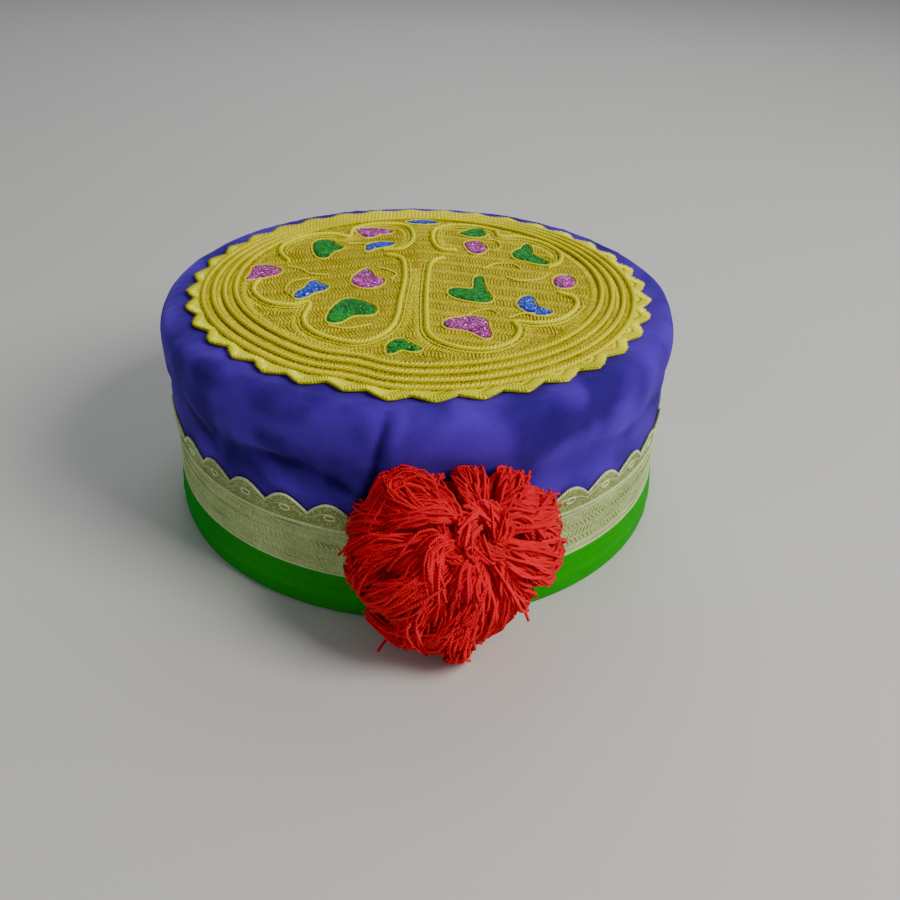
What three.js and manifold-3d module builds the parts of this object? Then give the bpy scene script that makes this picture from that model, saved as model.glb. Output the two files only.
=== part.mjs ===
// A round, flat-topped festive hat: a velvet crown with a padded roll under its top seam, a gold
// embroidered applique with coloured petals on top, a scalloped lace braid and a green binding
// round the lower edge, and a red wool pompom sewn on in front.
// Millimetres, +Z up, the front of the hat at -Y. Azimuths run from the front towards +X.
import * as THREE from "three";
import { mergeVertices } from "three/addons/utils/BufferGeometryUtils.js";
import Module from "manifold-3d";

const wasm = await Module();
wasm.setup();

// Driving sizes of the crown
const WALL_INSIDE = 90.1; // radius inside the straight part of the wall
const WALL = 2.2; // velvet, wadding and lining together
const SIDE_TOP = 79; // height of the side band's upper edge
const ROLL_BULGE = 3.0; // how far the padded roll stands out beyond the straight wall
const FOOT_FLARE = 1.0; // how far the wall spreads towards its lower edge
const TOP_CLOTH = 1.1; // the top disc: velvet on its lining
const TOP_RIM = 1.0; // how far the roll's crest stands outside the top disc's edge
const GAP = 0.3; // clearance between pieces that lie on each other

// Driving sizes of the binding and the braid
const BINDING_CLOTH = 1.0;
const BINDING_HEIGHT = 16; // outside leg
const BINDING_INSIDE = 9; // inside leg
const BINDING_FLOOR = 1.3; // the turned edge that the hat stands on
const BINDING_ROUND = 1.3; // rounding of the turned edge
const BRAID_CLOTH = 0.8;
const BRAID_TOP = 35; // height of the braid's straight part
const BRAID_SCALLOP = 9.5; // height of its scallops
const BRAID_SCALLOPS = 36;
const BRAID_TURN = -2.5; // azimuth of a valley between its scallops
const BRAID_CORD = 0.55; // radius

// Driving sizes of the embroidery
const APPLIQUE_RADIUS = 82.6; // at the valleys between its scallops
const APPLIQUE_SCALLOP = 3.4;
const APPLIQUE_SCALLOPS = 36;
const APPLIQUE_CLOTH = 0.9;
const APPLIQUE_FORWARD = 0.8; // how far its centre lies in front of the crown's
const CORD_RADIUS = 0.7;
const PETAL_HEIGHT = 0.9;
const PETAL_SLOPE = 0.12; // how much narrower a petal is on top, as a share of its width

// Driving sizes of the pompom
const POMPOM_AZIMUTH = 6.3; // degrees to the right of the front
const POMPOM_OUT = 97; // its middle, from the crown's axis
const POMPOM_UP = 32.6; // its middle, above the table
const POMPOM_HALF_WIDTH = 34.5;
const POMPOM_HALF_HEIGHT = 32;
const POMPOM_DEPTH = 30;
const POMPOM_TAPER = 0.25; // how much narrower its foot is than its middle, as a share
const POMPOM_HEAD = 0.86; // the dense head inside the locks, as a share of the whole
const POMPOM_LOCKS = 46; // counted round a whole ball
const LOCK_WIDTH = 0.2; // half-width of a lock near its cut end, as a share of its length
const LOCK_SIDES = 5;
const LOCK_FLOOR = 0.6; // the locks end this far above the table

const SEGMENTS = 60; // round the crown
const CORD_SEGMENTS = 44;
const SCALLOP_STEPS = 4;

// The side band's outline: height as a share of SIDE_TOP, and how much of the roll and of the
// foot's flare it has there.
const SIDE_SECTIONS = [
  { up: 0.02, roll: 0.0, flare: 0.85 },
  { up: 0.04, roll: 0.0, flare: 1.0 },
  { up: 0.205, roll: 0.0, flare: 0.0 },
  { up: 0.43, roll: 0.0, flare: 0.0 },
  { up: 0.55, roll: 0.45, flare: 0.0 },
  { up: 0.74, roll: 0.72, flare: 0.0 },
  { up: 0.83, roll: 0.93, flare: 0.0 },
  { up: 0.91, roll: 1.0, flare: 0.0 },
  { up: 0.955, roll: 0.93, flare: 0.0 },
  { up: 0.985, roll: 0.68, flare: 0.0 },
  { up: 1.0, roll: 0.2, flare: 0.0 },
];

// Soft dents (depth over 0) and swellings (under 0) of the velvet: azimuth and spread in degrees,
// height and spread as shares of SIDE_TOP, depth as a share of ROLL_BULGE.
const SOFT_FOLDS = [
  { azimuth: -22, spread: 8, up: 0.73, tall: 0.08, depth: 0.7 },
  { azimuth: -13, spread: 5, up: 0.6, tall: 0.07, depth: -0.35 },
  { azimuth: -46, spread: 12, up: 0.69, tall: 0.07, depth: 0.5 },
  { azimuth: 6, spread: 7, up: 0.76, tall: 0.07, depth: 0.32 },
  { azimuth: 34, spread: 16, up: 0.69, tall: 0.07, depth: 0.5 },
  { azimuth: 66, spread: 11, up: 0.74, tall: 0.08, depth: 0.4 },
  { azimuth: 104, spread: 14, up: 0.7, tall: 0.08, depth: 0.48 },
  { azimuth: 146, spread: 12, up: 0.73, tall: 0.07, depth: 0.42 },
  { azimuth: 182, spread: 10, up: 0.68, tall: 0.08, depth: -0.26 },
  { azimuth: 214, spread: 13, up: 0.71, tall: 0.07, depth: 0.48 },
  { azimuth: 262, spread: 14, up: 0.73, tall: 0.08, depth: 0.38 },
];

// The seam that closes the side band: its azimuth at the top, its lean and its groove.
const SEAM = { azimuth: -6, lean: -7, width: 1.6, depth: 0.35 };

// Where the applique was sewn on short of its circle: azimuth and spread in degrees, depth as a
// share of APPLIQUE_SCALLOP.
const APPLIQUE_PULLS = [
  { azimuth: -42, spread: 26, depth: 0.65 },
  { azimuth: -18, spread: 8, depth: 0.8 },
];

// The couched cords round the applique, from the outside in: radius and the shift of the ring's
// centre to the back, as shares of APPLIQUE_RADIUS.
const BORDER_CORDS = [
  { name: "border_cord_1", radius: 0.964, back: 0.0 },
  { name: "border_cord_2", radius: 0.922, back: 0.016 },
  { name: "border_cord_3", radius: 0.876, back: 0.034 },
  { name: "border_cord_4", radius: 0.83, back: 0.05 },
];

// The cords that draw the four leaves of the middle, as shares of APPLIQUE_RADIUS.
const LEAF_CORDS = {
  leaf_cord_front_left: [
    [-0.16, 0.36], [-0.085, 0.3], [-0.067, 0.1], [-0.082, -0.15], [-0.1, -0.38], [-0.148, -0.512],
    [-0.241, -0.593], [-0.352, -0.564], [-0.45, -0.48], [-0.488, -0.37], [-0.478, -0.215],
    [-0.56, -0.24], [-0.66, -0.21], [-0.73, -0.11], [-0.74, -0.02], [-0.726, 0.038],
  ],
  leaf_cord_front_right: [
    [0.12, 0.33], [0.06, 0.27], [0.037, 0.06], [0.03, -0.36], [0.05, -0.53], [0.155, -0.63],
    [0.282, -0.639], [0.385, -0.56], [0.418, -0.46], [0.405, -0.385], [0.5, -0.397], [0.6, -0.355],
    [0.685, -0.235], [0.69, -0.13], [0.625, -0.075],
  ],
  leaf_cord_back_left: [
    [-0.18, 0.42], [-0.09, 0.44], [-0.034, 0.56], [-0.05, 0.72], [-0.12, 0.775], [-0.25, 0.77],
    [-0.34, 0.7], [-0.355, 0.59], [-0.44, 0.62], [-0.56, 0.6], [-0.655, 0.5], [-0.675, 0.38],
    [-0.62, 0.26],
  ],
  leaf_cord_back_right: [
    [0.18, 0.42], [0.1, 0.44], [0.065, 0.56], [0.08, 0.71], [0.16, 0.77], [0.28, 0.76],
    [0.385, 0.7], [0.405, 0.62], [0.5, 0.61], [0.61, 0.54], [0.685, 0.41], [0.675, 0.29],
    [0.61, 0.22],
  ],
};
const LEAF_CORD_STEPS = 26;
const LEAF_CORD_SIDES = 4;

// The petals' outlines, anticlockwise from above, as shares of APPLIQUE_RADIUS from the crown's axis.
const PETALS = {
  petal_green_1: [
    [-0.336, -0.406], [-0.306, -0.356], [-0.268, -0.325], [-0.233, -0.331], [-0.202, -0.324],
    [-0.187, -0.276], [-0.198, -0.228], [-0.289, -0.162], [-0.335, -0.172], [-0.37, -0.246],
    [-0.389, -0.335], [-0.384, -0.401]],
  petal_green_2: [
    [0.161, -0.142], [0.277, -0.187], [0.315, -0.171], [0.321, -0.126], [0.298, -0.033],
    [0.287, 0.109], [0.261, 0.103], [0.25, 0.045], [0.245, -0.04], [0.202, -0.036],
    [0.145, -0.03], [0.128, -0.073]],
  petal_green_3: [
    [-0.119, -0.69], [-0.094, -0.668], [-0.067, -0.646], [-0.027, -0.665], [0.009, -0.642],
    [-0.033, -0.595], [-0.065, -0.555], [-0.102, -0.562], [-0.127, -0.607], [-0.13, -0.663]],
  petal_green_4: [
    [-0.511, 0.379], [-0.482, 0.311], [-0.45, 0.312], [-0.424, 0.391], [-0.394, 0.418],
    [-0.374, 0.46], [-0.412, 0.489], [-0.432, 0.534], [-0.47, 0.551], [-0.515, 0.531],
    [-0.526, 0.476]],
  petal_green_5: [
    [0.469, 0.325], [0.509, 0.301], [0.579, 0.26], [0.624, 0.268], [0.596, 0.329],
    [0.553, 0.381], [0.552, 0.441], [0.547, 0.521], [0.524, 0.528], [0.505, 0.468],
    [0.466, 0.431], [0.452, 0.38]],
  petal_green_6: [
    [0.218, 0.645], [0.25, 0.623], [0.288, 0.614], [0.322, 0.626], [0.338, 0.697],
    [0.32, 0.732], [0.277, 0.734], [0.236, 0.701], [0.199, 0.668]],
  petal_pink_1: [
    [0.117, -0.446], [0.17, -0.458], [0.21, -0.477], [0.243, -0.512], [0.276, -0.547],
    [0.296, -0.508], [0.286, -0.428], [0.283, -0.36], [0.216, -0.326], [0.167, -0.349],
    [0.119, -0.361], [0.101, -0.405]],
  petal_pink_2: [
    [-0.285, -0.019], [-0.247, -0.041], [-0.206, -0.032], [-0.171, 0.007], [-0.167, 0.068],
    [-0.211, 0.091], [-0.225, 0.146], [-0.249, 0.186], [-0.275, 0.152], [-0.303, 0.088],
    [-0.308, 0.018]],
  petal_pink_3: [
    [-0.764, 0.047], [-0.728, 0.052], [-0.701, 0.076], [-0.661, 0.097], [-0.646, 0.157],
    [-0.699, 0.204], [-0.743, 0.211], [-0.778, 0.19], [-0.778, 0.121], [-0.792, 0.034]],
  petal_pink_4: [
    [0.628, -0.005], [0.657, -0.017], [0.694, -0.003], [0.719, 0.067], [0.7, 0.125],
    [0.675, 0.132], [0.632, 0.106], [0.618, 0.04]],
  petal_pink_5: [
    [0.231, 0.473], [0.245, 0.419], [0.272, 0.386], [0.3, 0.401], [0.326, 0.445],
    [0.326, 0.491], [0.296, 0.549], [0.258, 0.556], [0.227, 0.532]],
  petal_pink_6: [
    [-0.308, 0.647], [-0.282, 0.595], [-0.245, 0.593], [-0.206, 0.636], [-0.158, 0.647],
    [-0.139, 0.686], [-0.195, 0.713], [-0.271, 0.72], [-0.331, 0.698]],
  petal_blue_1: [
    [-0.529, -0.166], [-0.497, -0.136], [-0.465, -0.092], [-0.431, -0.076], [-0.414, -0.023],
    [-0.449, -0.002], [-0.471, 0.036], [-0.5, 0.02], [-0.517, -0.049], [-0.548, -0.094],
    [-0.551, -0.152]],
  petal_blue_2: [
    [0.456, -0.263], [0.484, -0.298], [0.525, -0.311], [0.563, -0.296], [0.573, -0.26],
    [0.533, -0.232], [0.512, -0.188], [0.506, -0.128], [0.483, -0.106], [0.448, -0.137],
    [0.431, -0.205]],
  petal_blue_3: [
    [-0.25, 0.406], [-0.225, 0.438], [-0.186, 0.461], [-0.147, 0.48], [-0.128, 0.517],
    [-0.175, 0.529], [-0.228, 0.518], [-0.26, 0.486], [-0.263, 0.414]],
  petal_blue_4: [
    [-0.045, 0.803], [0.012, 0.794], [0.068, 0.8], [0.097, 0.815], [0.068, 0.84],
    [0.012, 0.85], [-0.045, 0.841], [-0.073, 0.822]],
};

const degrees = THREE.MathUtils.degToRad;
const WALL_OUTSIDE = WALL_INSIDE + WALL;
const TOP_UNDER = SIDE_TOP + GAP;
const TOP = TOP_UNDER + TOP_CLOTH;
const APPLIQUE_UNDER = TOP + GAP;
const APPLIQUE_TOP = APPLIQUE_UNDER + APPLIQUE_CLOTH;
const BRAID_LOW = BINDING_HEIGHT + GAP;

const COLOURS = {
  velvet: { color: 0x2d1e8c, roughness: 0.85, metalness: 0 },
  green: { color: 0x009a00, roughness: 0.45, metalness: 0 },
  braid: { color: 0xa9c88c, roughness: 0.5, metalness: 0.4 },
  gold: { color: 0xb4a81c, roughness: 0.4, metalness: 0.5 },
  cord: { color: 0xd8d23a, roughness: 0.35, metalness: 0.5 },
  petal_green: { color: 0x008232, roughness: 0.5, metalness: 0.2 },
  petal_pink: { color: 0xaa3c96, roughness: 0.5, metalness: 0.2 },
  petal_blue: { color: 0x2850b4, roughness: 0.5, metalness: 0.2 },
  wool: { color: 0xbe0f19, roughness: 0.95, metalness: 0 },
};

function named(name, geometry, colour) {
  const mesh = new THREE.Mesh(geometry, new THREE.MeshStandardMaterial(COLOURS[colour]));
  mesh.name = name;
  return mesh;
}

// The side band's outside radius at a height, before its folds.
function sideRadius(height) {
  const share = THREE.MathUtils.clamp(height / SIDE_TOP, SIDE_SECTIONS[0].up, 1);
  const next = Math.max(1, SIDE_SECTIONS.findIndex((section) => section.up >= share));
  const [low, high] = [SIDE_SECTIONS[next - 1], SIDE_SECTIONS[next]];
  const part = (share - low.up) / (high.up - low.up);
  const roll = THREE.MathUtils.lerp(low.roll, high.roll, part);
  const flare = THREE.MathUtils.lerp(low.flare, high.flare, part);
  return WALL_OUTSIDE + roll * ROLL_BULGE + flare * FOOT_FLARE;
}

// A profile of [radius, height] points turned round the Z axis. A ring's profile runs outwards
// along its underside, up its outside and back.
function turned(profile, segments) {
  const points = profile.map(([radius, height]) => new THREE.Vector2(radius, height));
  return new THREE.LatheGeometry(points, segments).rotateX(Math.PI / 2);
}

function ring(profile, segments) {
  return turned([...profile, profile[0]], segments);
}

// Moves each vertex, given and returned as azimuth in degrees, radius and height.
function reshape(geometry, move) {
  const place = geometry.attributes.position;
  for (let i = 0; i < place.count; i++) {
    const azimuth = THREE.MathUtils.radToDeg(Math.atan2(place.getX(i), -place.getY(i)));
    const radius = Math.hypot(place.getX(i), place.getY(i));
    const [turn, out, up] = move(azimuth, radius, place.getZ(i));
    place.setXYZ(i, out * Math.sin(degrees(turn)), -out * Math.cos(degrees(turn)), up);
  }
  return geometry;
}

// The signed difference of two azimuths, from -180 to 180 degrees.
function apart(azimuth, from) {
  return THREE.MathUtils.euclideanModulo(azimuth - from + 180, 360) - 180;
}

const bell = (distance, spread) => Math.exp(-((distance / spread) ** 2));

// How far the velvet stands in or out at a place, from its folds.
function foldDepth(azimuth, height) {
  const up = height / SIDE_TOP;
  const visible = THREE.MathUtils.smoothstep(height, BRAID_TOP + BRAID_SCALLOP, SIDE_TOP * 0.66)
    * (1 - THREE.MathUtils.smoothstep(up, 0.86, 0.96));
  const sum = SOFT_FOLDS.reduce((total, fold) => total + fold.depth
    * bell(apart(azimuth, fold.azimuth), fold.spread) * bell(up - fold.up, fold.tall), 0);
  return sum * visible * ROLL_BULGE;
}

function crownSide() {
  const outside = SIDE_SECTIONS.map(({ up }) => [sideRadius(up * SIDE_TOP), up * SIDE_TOP]);
  const foot = BINDING_FLOOR + GAP;
  outside[0] = [sideRadius(foot), foot];
  const top = SIDE_SECTIONS.length - 1;
  const inside = [top, 7, 5, 4, 3, 2, 1, 0].map((row) => [outside[row][0] - WALL, outside[row][1]]);
  const pitch = 360 / SEGMENTS;
  return reshape(ring([...outside, ...inside], SEGMENTS), (azimuth, radius, height) => {
    const column = Math.round(azimuth / pitch);
    const seamColumn = Math.round(SEAM.azimuth / pitch);
    const away = column - seamColumn;
    const drop = 1 - height / SIDE_TOP;
    const onSeam = height > BRAID_TOP && height < SIDE_TOP;
    const lean = onSeam ? SEAM.lean * drop * bell(away, 4) : 0;
    const pinched = Math.abs(away) === 1 && onSeam ? SEAM.azimuth + away * SEAM.width : azimuth;
    const groove = away === 0 && onSeam ? SEAM.depth * ROLL_BULGE : 0;
    return [pinched + lean, radius - foldDepth(azimuth, height) - groove, height];
  });
}

function crownTop() {
  const edge = sideRadius(SIDE_TOP) - TOP_RIM * 0.2;
  const round = TOP_CLOTH * 0.5;
  return turned([[0, TOP_UNDER], [edge, TOP_UNDER], [edge, TOP_UNDER + round],
    [edge - TOP_RIM * 2, TOP], [0, TOP]], SEGMENTS);
}

// The binding: one strip folded round the wall's lower edge, flat where it meets the table.
function baseBand() {
  const leg = (height) => sideRadius(height) + GAP;
  const inner = (height) => sideRadius(height) - WALL - GAP;
  const foot = BINDING_FLOOR + GAP;
  const widest = SIDE_SECTIONS[1].up * SIDE_TOP;
  const outward = leg(widest) + BINDING_CLOTH;
  const inward = inner(widest) - BINDING_CLOTH;
  return ring([
    [inward + BINDING_ROUND, 0], [outward - BINDING_ROUND, 0], [outward, BINDING_ROUND],
    [outward, widest], [leg(BINDING_HEIGHT) + BINDING_CLOTH, BINDING_HEIGHT],
    [leg(BINDING_HEIGHT), BINDING_HEIGHT], [leg(widest), widest], [leg(foot), BINDING_FLOOR],
    [inner(foot), BINDING_FLOOR], [inner(widest), widest], [inner(BINDING_INSIDE), BINDING_INSIDE],
    [inner(BINDING_INSIDE) - BINDING_CLOTH, BINDING_INSIDE], [inward, BINDING_ROUND],
  ], SEGMENTS);
}

// A scallop's rise from 0 in its valleys to 1 at its tip.
function scallop(azimuth, count) {
  return Math.abs(Math.sin(degrees(azimuth * count) / 2));
}

// The lace braid: a straight band with a scalloped upper edge that lies on the velvet.
function braidBand() {
  const inside = (height) => sideRadius(height) + GAP;
  const tip = BRAID_TOP + BRAID_SCALLOP;
  const heights = [BRAID_LOW, BRAID_TOP, tip];
  const outline = [...heights.map((height) => [inside(height) + BRAID_CLOTH, height]),
    ...heights.reverse().map((height) => [inside(height), height])];
  return reshape(ring(outline, BRAID_SCALLOPS * SCALLOP_STEPS), (azimuth, radius, height) => {
    if (height < tip - GAP) return [azimuth, radius, height];
    const cloth = radius - inside(tip);
    const rise = BRAID_SCALLOP * (0.14 + 0.86 * scallop(azimuth - BRAID_TURN, BRAID_SCALLOPS));
    return [azimuth, inside(BRAID_TOP + rise) + cloth, BRAID_TOP + rise];
  });
}

function braidCord() {
  const radius = sideRadius(BRAID_TOP) + GAP + BRAID_CLOTH + GAP + BRAID_CORD;
  return new THREE.TorusGeometry(radius, BRAID_CORD, 4, SEGMENTS).translate(0, 0, BRAID_TOP);
}

// How far short of its circle the applique lies at an azimuth.
function appliquePull(azimuth) {
  return APPLIQUE_PULLS.reduce((total, pull) => total
    + pull.depth * APPLIQUE_SCALLOP * bell(apart(azimuth, pull.azimuth), pull.spread), 0);
}

function topApplique() {
  const tip = APPLIQUE_RADIUS + APPLIQUE_SCALLOP;
  const plain = turned([[0, APPLIQUE_UNDER], [tip, APPLIQUE_UNDER], [tip, APPLIQUE_TOP],
    [0, APPLIQUE_TOP]], APPLIQUE_SCALLOPS * SCALLOP_STEPS);
  return reshape(plain, (azimuth, radius, height) => {
    const rise = APPLIQUE_SCALLOP * scallop(azimuth, APPLIQUE_SCALLOPS) - appliquePull(azimuth);
    return [azimuth, Math.min(radius, APPLIQUE_RADIUS + rise), height];
  }).translate(0, -APPLIQUE_FORWARD, 0);
}

const CORD_HEIGHT = APPLIQUE_TOP + GAP + CORD_RADIUS;

function borderCord({ radius, back }) {
  const round = new THREE.TorusGeometry(radius * APPLIQUE_RADIUS, CORD_RADIUS, 4, CORD_SEGMENTS);
  return reshape(round.rotateZ(-Math.PI / 2), (azimuth, out, up) => [azimuth, out - appliquePull(azimuth), up])
    .translate(0, back * APPLIQUE_RADIUS - APPLIQUE_FORWARD, CORD_HEIGHT);
}

function leafCord(points) {
  const route = new THREE.CatmullRomCurve3(points.map(([x, y]) => new THREE.Vector3(
    x * APPLIQUE_RADIUS, y * APPLIQUE_RADIUS, CORD_HEIGHT)), false, "centripetal");
  const section = new THREE.Shape(Array.from({ length: LEAF_CORD_SIDES }, (_, side) => {
    const angle = (2 * Math.PI * side) / LEAF_CORD_SIDES;
    return new THREE.Vector2(CORD_RADIUS * Math.cos(angle), CORD_RADIUS * Math.sin(angle));
  }));
  return new THREE.ExtrudeGeometry(section, {
    steps: LEAF_CORD_STEPS, bevelEnabled: false, extrudePath: route });
}

// A petal: its outline, with sides that slope in towards its top.
function petal(outline) {
  const points = outline.map(([x, y]) => new THREE.Vector2(x, y).multiplyScalar(APPLIQUE_RADIUS));
  const middle = new THREE.Vector2();
  for (const point of points) middle.addScaledVector(point, 1 / points.length);
  const shape = new THREE.Shape(points.map((point) => point.sub(middle)));
  const geometry = new THREE.ExtrudeGeometry(shape, { depth: PETAL_HEIGHT, bevelEnabled: false });
  const place = geometry.attributes.position;
  for (let i = 0; i < place.count; i++) {
    const shrink = place.getZ(i) > PETAL_HEIGHT / 2 ? 1 - PETAL_SLOPE : 1;
    place.setXY(i, place.getX(i) * shrink, place.getY(i) * shrink);
  }
  return geometry.translate(middle.x, middle.y, APPLIQUE_TOP + GAP);
}

function solid(geometry) {
  const bare = geometry.clone();
  bare.deleteAttribute("normal");
  bare.deleteAttribute("uv");
  const joined = mergeVertices(bare, 1e-3);
  return new wasm.Manifold(new wasm.Mesh({
    numProp: 3, vertProperties: joined.attributes.position.array,
    triVerts: new Uint32Array(joined.index.array) }));
}

function geometryOf(body) {
  const mesh = body.getMesh();
  const geometry = new THREE.BufferGeometry();
  geometry.setAttribute("position", new THREE.BufferAttribute(mesh.vertProperties, 3));
  geometry.setIndex(new THREE.BufferAttribute(mesh.triVerts, 1));
  return geometry;
}

// The hat's outside with its clearance, from under the table to above the pompom, which rests
// against it.
function pompomSeat() {
  const top = POMPOM_UP + 2 * POMPOM_HALF_HEIGHT;
  const braid = sideRadius(BRAID_TOP) + GAP + BRAID_CLOTH + GAP + 2 * BRAID_CORD;
  const binding = sideRadius(SIDE_SECTIONS[1].up * SIDE_TOP) + GAP + BINDING_CLOTH;
  const velvet = (share) => sideRadius(share * SIDE_TOP) + GAP + BRAID_CLOTH;
  return turned([[0, -top], [binding + GAP, -top], [binding + GAP, BINDING_INSIDE],
    [braid + GAP, BRAID_LOW], [braid + GAP, BRAID_TOP + 2 * BRAID_CORD],
    [velvet(0.55) + GAP, SIDE_TOP * 0.55], [velvet(0.74) + GAP, SIDE_TOP * 0.74],
    [velvet(0.91) + GAP, SIDE_TOP * 0.83], [velvet(0.91) + GAP, top + SIDE_TOP],
    [0, top + SIDE_TOP]], SEGMENTS * 2);
}

// One lock of wool along +Y, from the middle of the pompom to its cut end.
function lock(length) {
  const width = LOCK_WIDTH * length;
  return new THREE.LatheGeometry([[0, 0], [width * 0.55, length * 0.45], [width, length * 0.84],
    [width * 0.55, length], [0, length * 1.01]].map(([r, up]) => new THREE.Vector2(r, up)),
  LOCK_SIDES);
}

// The pompom's lower half narrows towards its foot.
function tapered(geometry) {
  const position = geometry.attributes.position;
  for (let i = 0; i < position.count; i++) {
    const down = Math.max(0, -position.getZ(i) / POMPOM_HALF_HEIGHT);
    position.setX(i, position.getX(i) * (1 - POMPOM_TAPER * down));
  }
  return geometry;
}

function pompom() {
  const size = new THREE.Vector3(POMPOM_HALF_WIDTH, POMPOM_DEPTH, POMPOM_HALF_HEIGHT);
  const place = new THREE.Matrix4().makeRotationZ(degrees(POMPOM_AZIMUTH))
    .multiply(new THREE.Matrix4().makeTranslation(0, -POMPOM_OUT, POMPOM_UP));
  const head = new THREE.SphereGeometry(POMPOM_HEAD, 14, 8).scale(size.x, size.y, size.z);
  let body = solid(tapered(head).applyMatrix4(place));
  const golden = Math.PI * (3 - Math.sqrt(5));
  for (let i = 0; i < POMPOM_LOCKS; i++) {
    const up = 1 - (2 * i + 1) / POMPOM_LOCKS;
    const across = Math.sqrt(1 - up * up);
    const way = new THREE.Vector3(across * Math.cos(golden * i), across * Math.sin(golden * i), up);
    if (way.y > 0.25) continue;
    const turn = new THREE.Quaternion().setFromUnitVectors(new THREE.Vector3(0, 1, 0), way);
    const tuft = lock(1).applyQuaternion(turn).scale(size.x, size.y, size.z);
    body = body.add(solid(tapered(tuft).applyMatrix4(place)));
  }
  const reach = 3 * POMPOM_OUT;
  const table = new THREE.BoxGeometry(reach, reach, reach);
  body = body.subtract(solid(table.translate(0, 0, LOCK_FLOOR - reach / 2)));
  const kept = body.subtract(solid(pompomSeat())).decompose();
  kept.sort((a, b) => b.volume() - a.volume());
  return geometryOf(kept[0]);
}

const hat = new THREE.Group();
hat.add(
  named("crown_side", crownSide(), "velvet"),
  named("crown_top", crownTop(), "velvet"),
  named("base_band", baseBand(), "green"),
  named("braid_band", braidBand(), "braid"),
  named("braid_cord", braidCord(), "braid"),
  named("top_applique", topApplique(), "gold"),
  named("pompom", pompom(), "wool"),
);
for (const cord of BORDER_CORDS) hat.add(named(cord.name, borderCord(cord), "cord"));
for (const [name, points] of Object.entries(LEAF_CORDS)) hat.add(named(name, leafCord(points), "cord"));
for (const [name, outline] of Object.entries(PETALS)) {
  hat.add(named(name, petal(outline), name.slice(0, name.lastIndexOf("_"))));
}

// The origin lies in the middle of the hat's box, on the table.
const box = new THREE.Box3().setFromObject(hat);
const centre = box.getCenter(new THREE.Vector3());
hat.position.set(-centre.x, -centre.y, -box.min.z);

const part = new THREE.Group();
part.add(hat);
export default part;
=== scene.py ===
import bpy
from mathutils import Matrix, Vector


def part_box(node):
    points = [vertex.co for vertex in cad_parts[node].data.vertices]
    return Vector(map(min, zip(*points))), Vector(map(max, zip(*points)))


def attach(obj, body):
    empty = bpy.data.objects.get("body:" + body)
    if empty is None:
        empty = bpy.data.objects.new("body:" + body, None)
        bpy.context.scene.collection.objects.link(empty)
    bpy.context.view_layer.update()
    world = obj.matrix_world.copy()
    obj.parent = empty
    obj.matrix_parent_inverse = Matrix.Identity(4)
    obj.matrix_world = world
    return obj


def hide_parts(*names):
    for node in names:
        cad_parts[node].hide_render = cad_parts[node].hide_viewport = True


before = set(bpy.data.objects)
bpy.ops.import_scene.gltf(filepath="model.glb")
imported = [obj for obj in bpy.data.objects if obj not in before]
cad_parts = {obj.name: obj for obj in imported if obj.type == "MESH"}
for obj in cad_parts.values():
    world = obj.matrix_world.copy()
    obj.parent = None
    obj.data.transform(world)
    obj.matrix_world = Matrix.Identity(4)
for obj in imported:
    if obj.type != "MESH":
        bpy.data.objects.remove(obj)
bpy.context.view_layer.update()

# A round, flat-topped festive hat: blue-violet velvet over a padded roll, a gold embroidered applique
# with coloured petals on top, a scalloped lace braid, a green satin binding and a red wool pompom.
# Sizes are in millimetres and become metres as a mesh is made. Azimuths are in degrees from the
# front (-Y) towards +X, about the hat's own axis.
import math

import bpy
import mathutils
import mathutils.geometry
import numpy as np
from mathutils import Matrix, Vector

MM = 0.001


# Sizes read from the frame

def box_mm(node):
    """The lowest and highest corners of a solid, in millimetres."""
    return [np.array(corner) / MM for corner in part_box(node)]


TOP_LOW, TOP_HIGH = box_mm("crown_top")
BINDING_LOW, BINDING_HIGH = box_mm("base_band")
BRAID_LOW, BRAID_HIGH = box_mm("braid_band")
RIDGE_LOW, RIDGE_HIGH = box_mm("braid_cord")
APPLIQUE_LOW, APPLIQUE_HIGH = box_mm("top_applique")
LEAF_LOW, LEAF_HIGH = box_mm("leaf_cord_front_left")
POMPOM_LOW, POMPOM_HIGH = box_mm("pompom")

AXIS_X, AXIS_Y = (TOP_LOW[:2] + TOP_HIGH[:2]) / 2
SIDE_TOP = box_mm("crown_side")[1][2]
VELVET_TOP = TOP_HIGH[2]
BINDING_TOP = BINDING_HIGH[2]
BINDING_RADIUS = (BINDING_HIGH[0] - BINDING_LOW[0]) / 2
BRAID_FOOT = BRAID_LOW[2]
BRAID_LINE = (RIDGE_LOW[2] + RIDGE_HIGH[2]) / 2
BRAID_TIP = BRAID_HIGH[2]
CLOTH_TOP = APPLIQUE_HIGH[2]
CORD_HEIGHT = (LEAF_LOW[2] + LEAF_HIGH[2]) / 2
CORD_RADIUS = (LEAF_HIGH[2] - LEAF_LOW[2]) / 2

# The room between two pieces, and the thickness of the braid's cloth, of its ridge and of the wall
GAP = 0.3
BRAID_CLOTH = 0.8
RIDGE_THICK = RIDGE_HIGH[2] - RIDGE_LOW[2]
WALL = 2.2
WALL_OUTSIDE = (RIDGE_HIGH[0] - RIDGE_LOW[0]) / 2 - RIDGE_THICK - BRAID_CLOTH - 2 * GAP

# The velvet wall
ROLL_BULGE = 3.0
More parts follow.
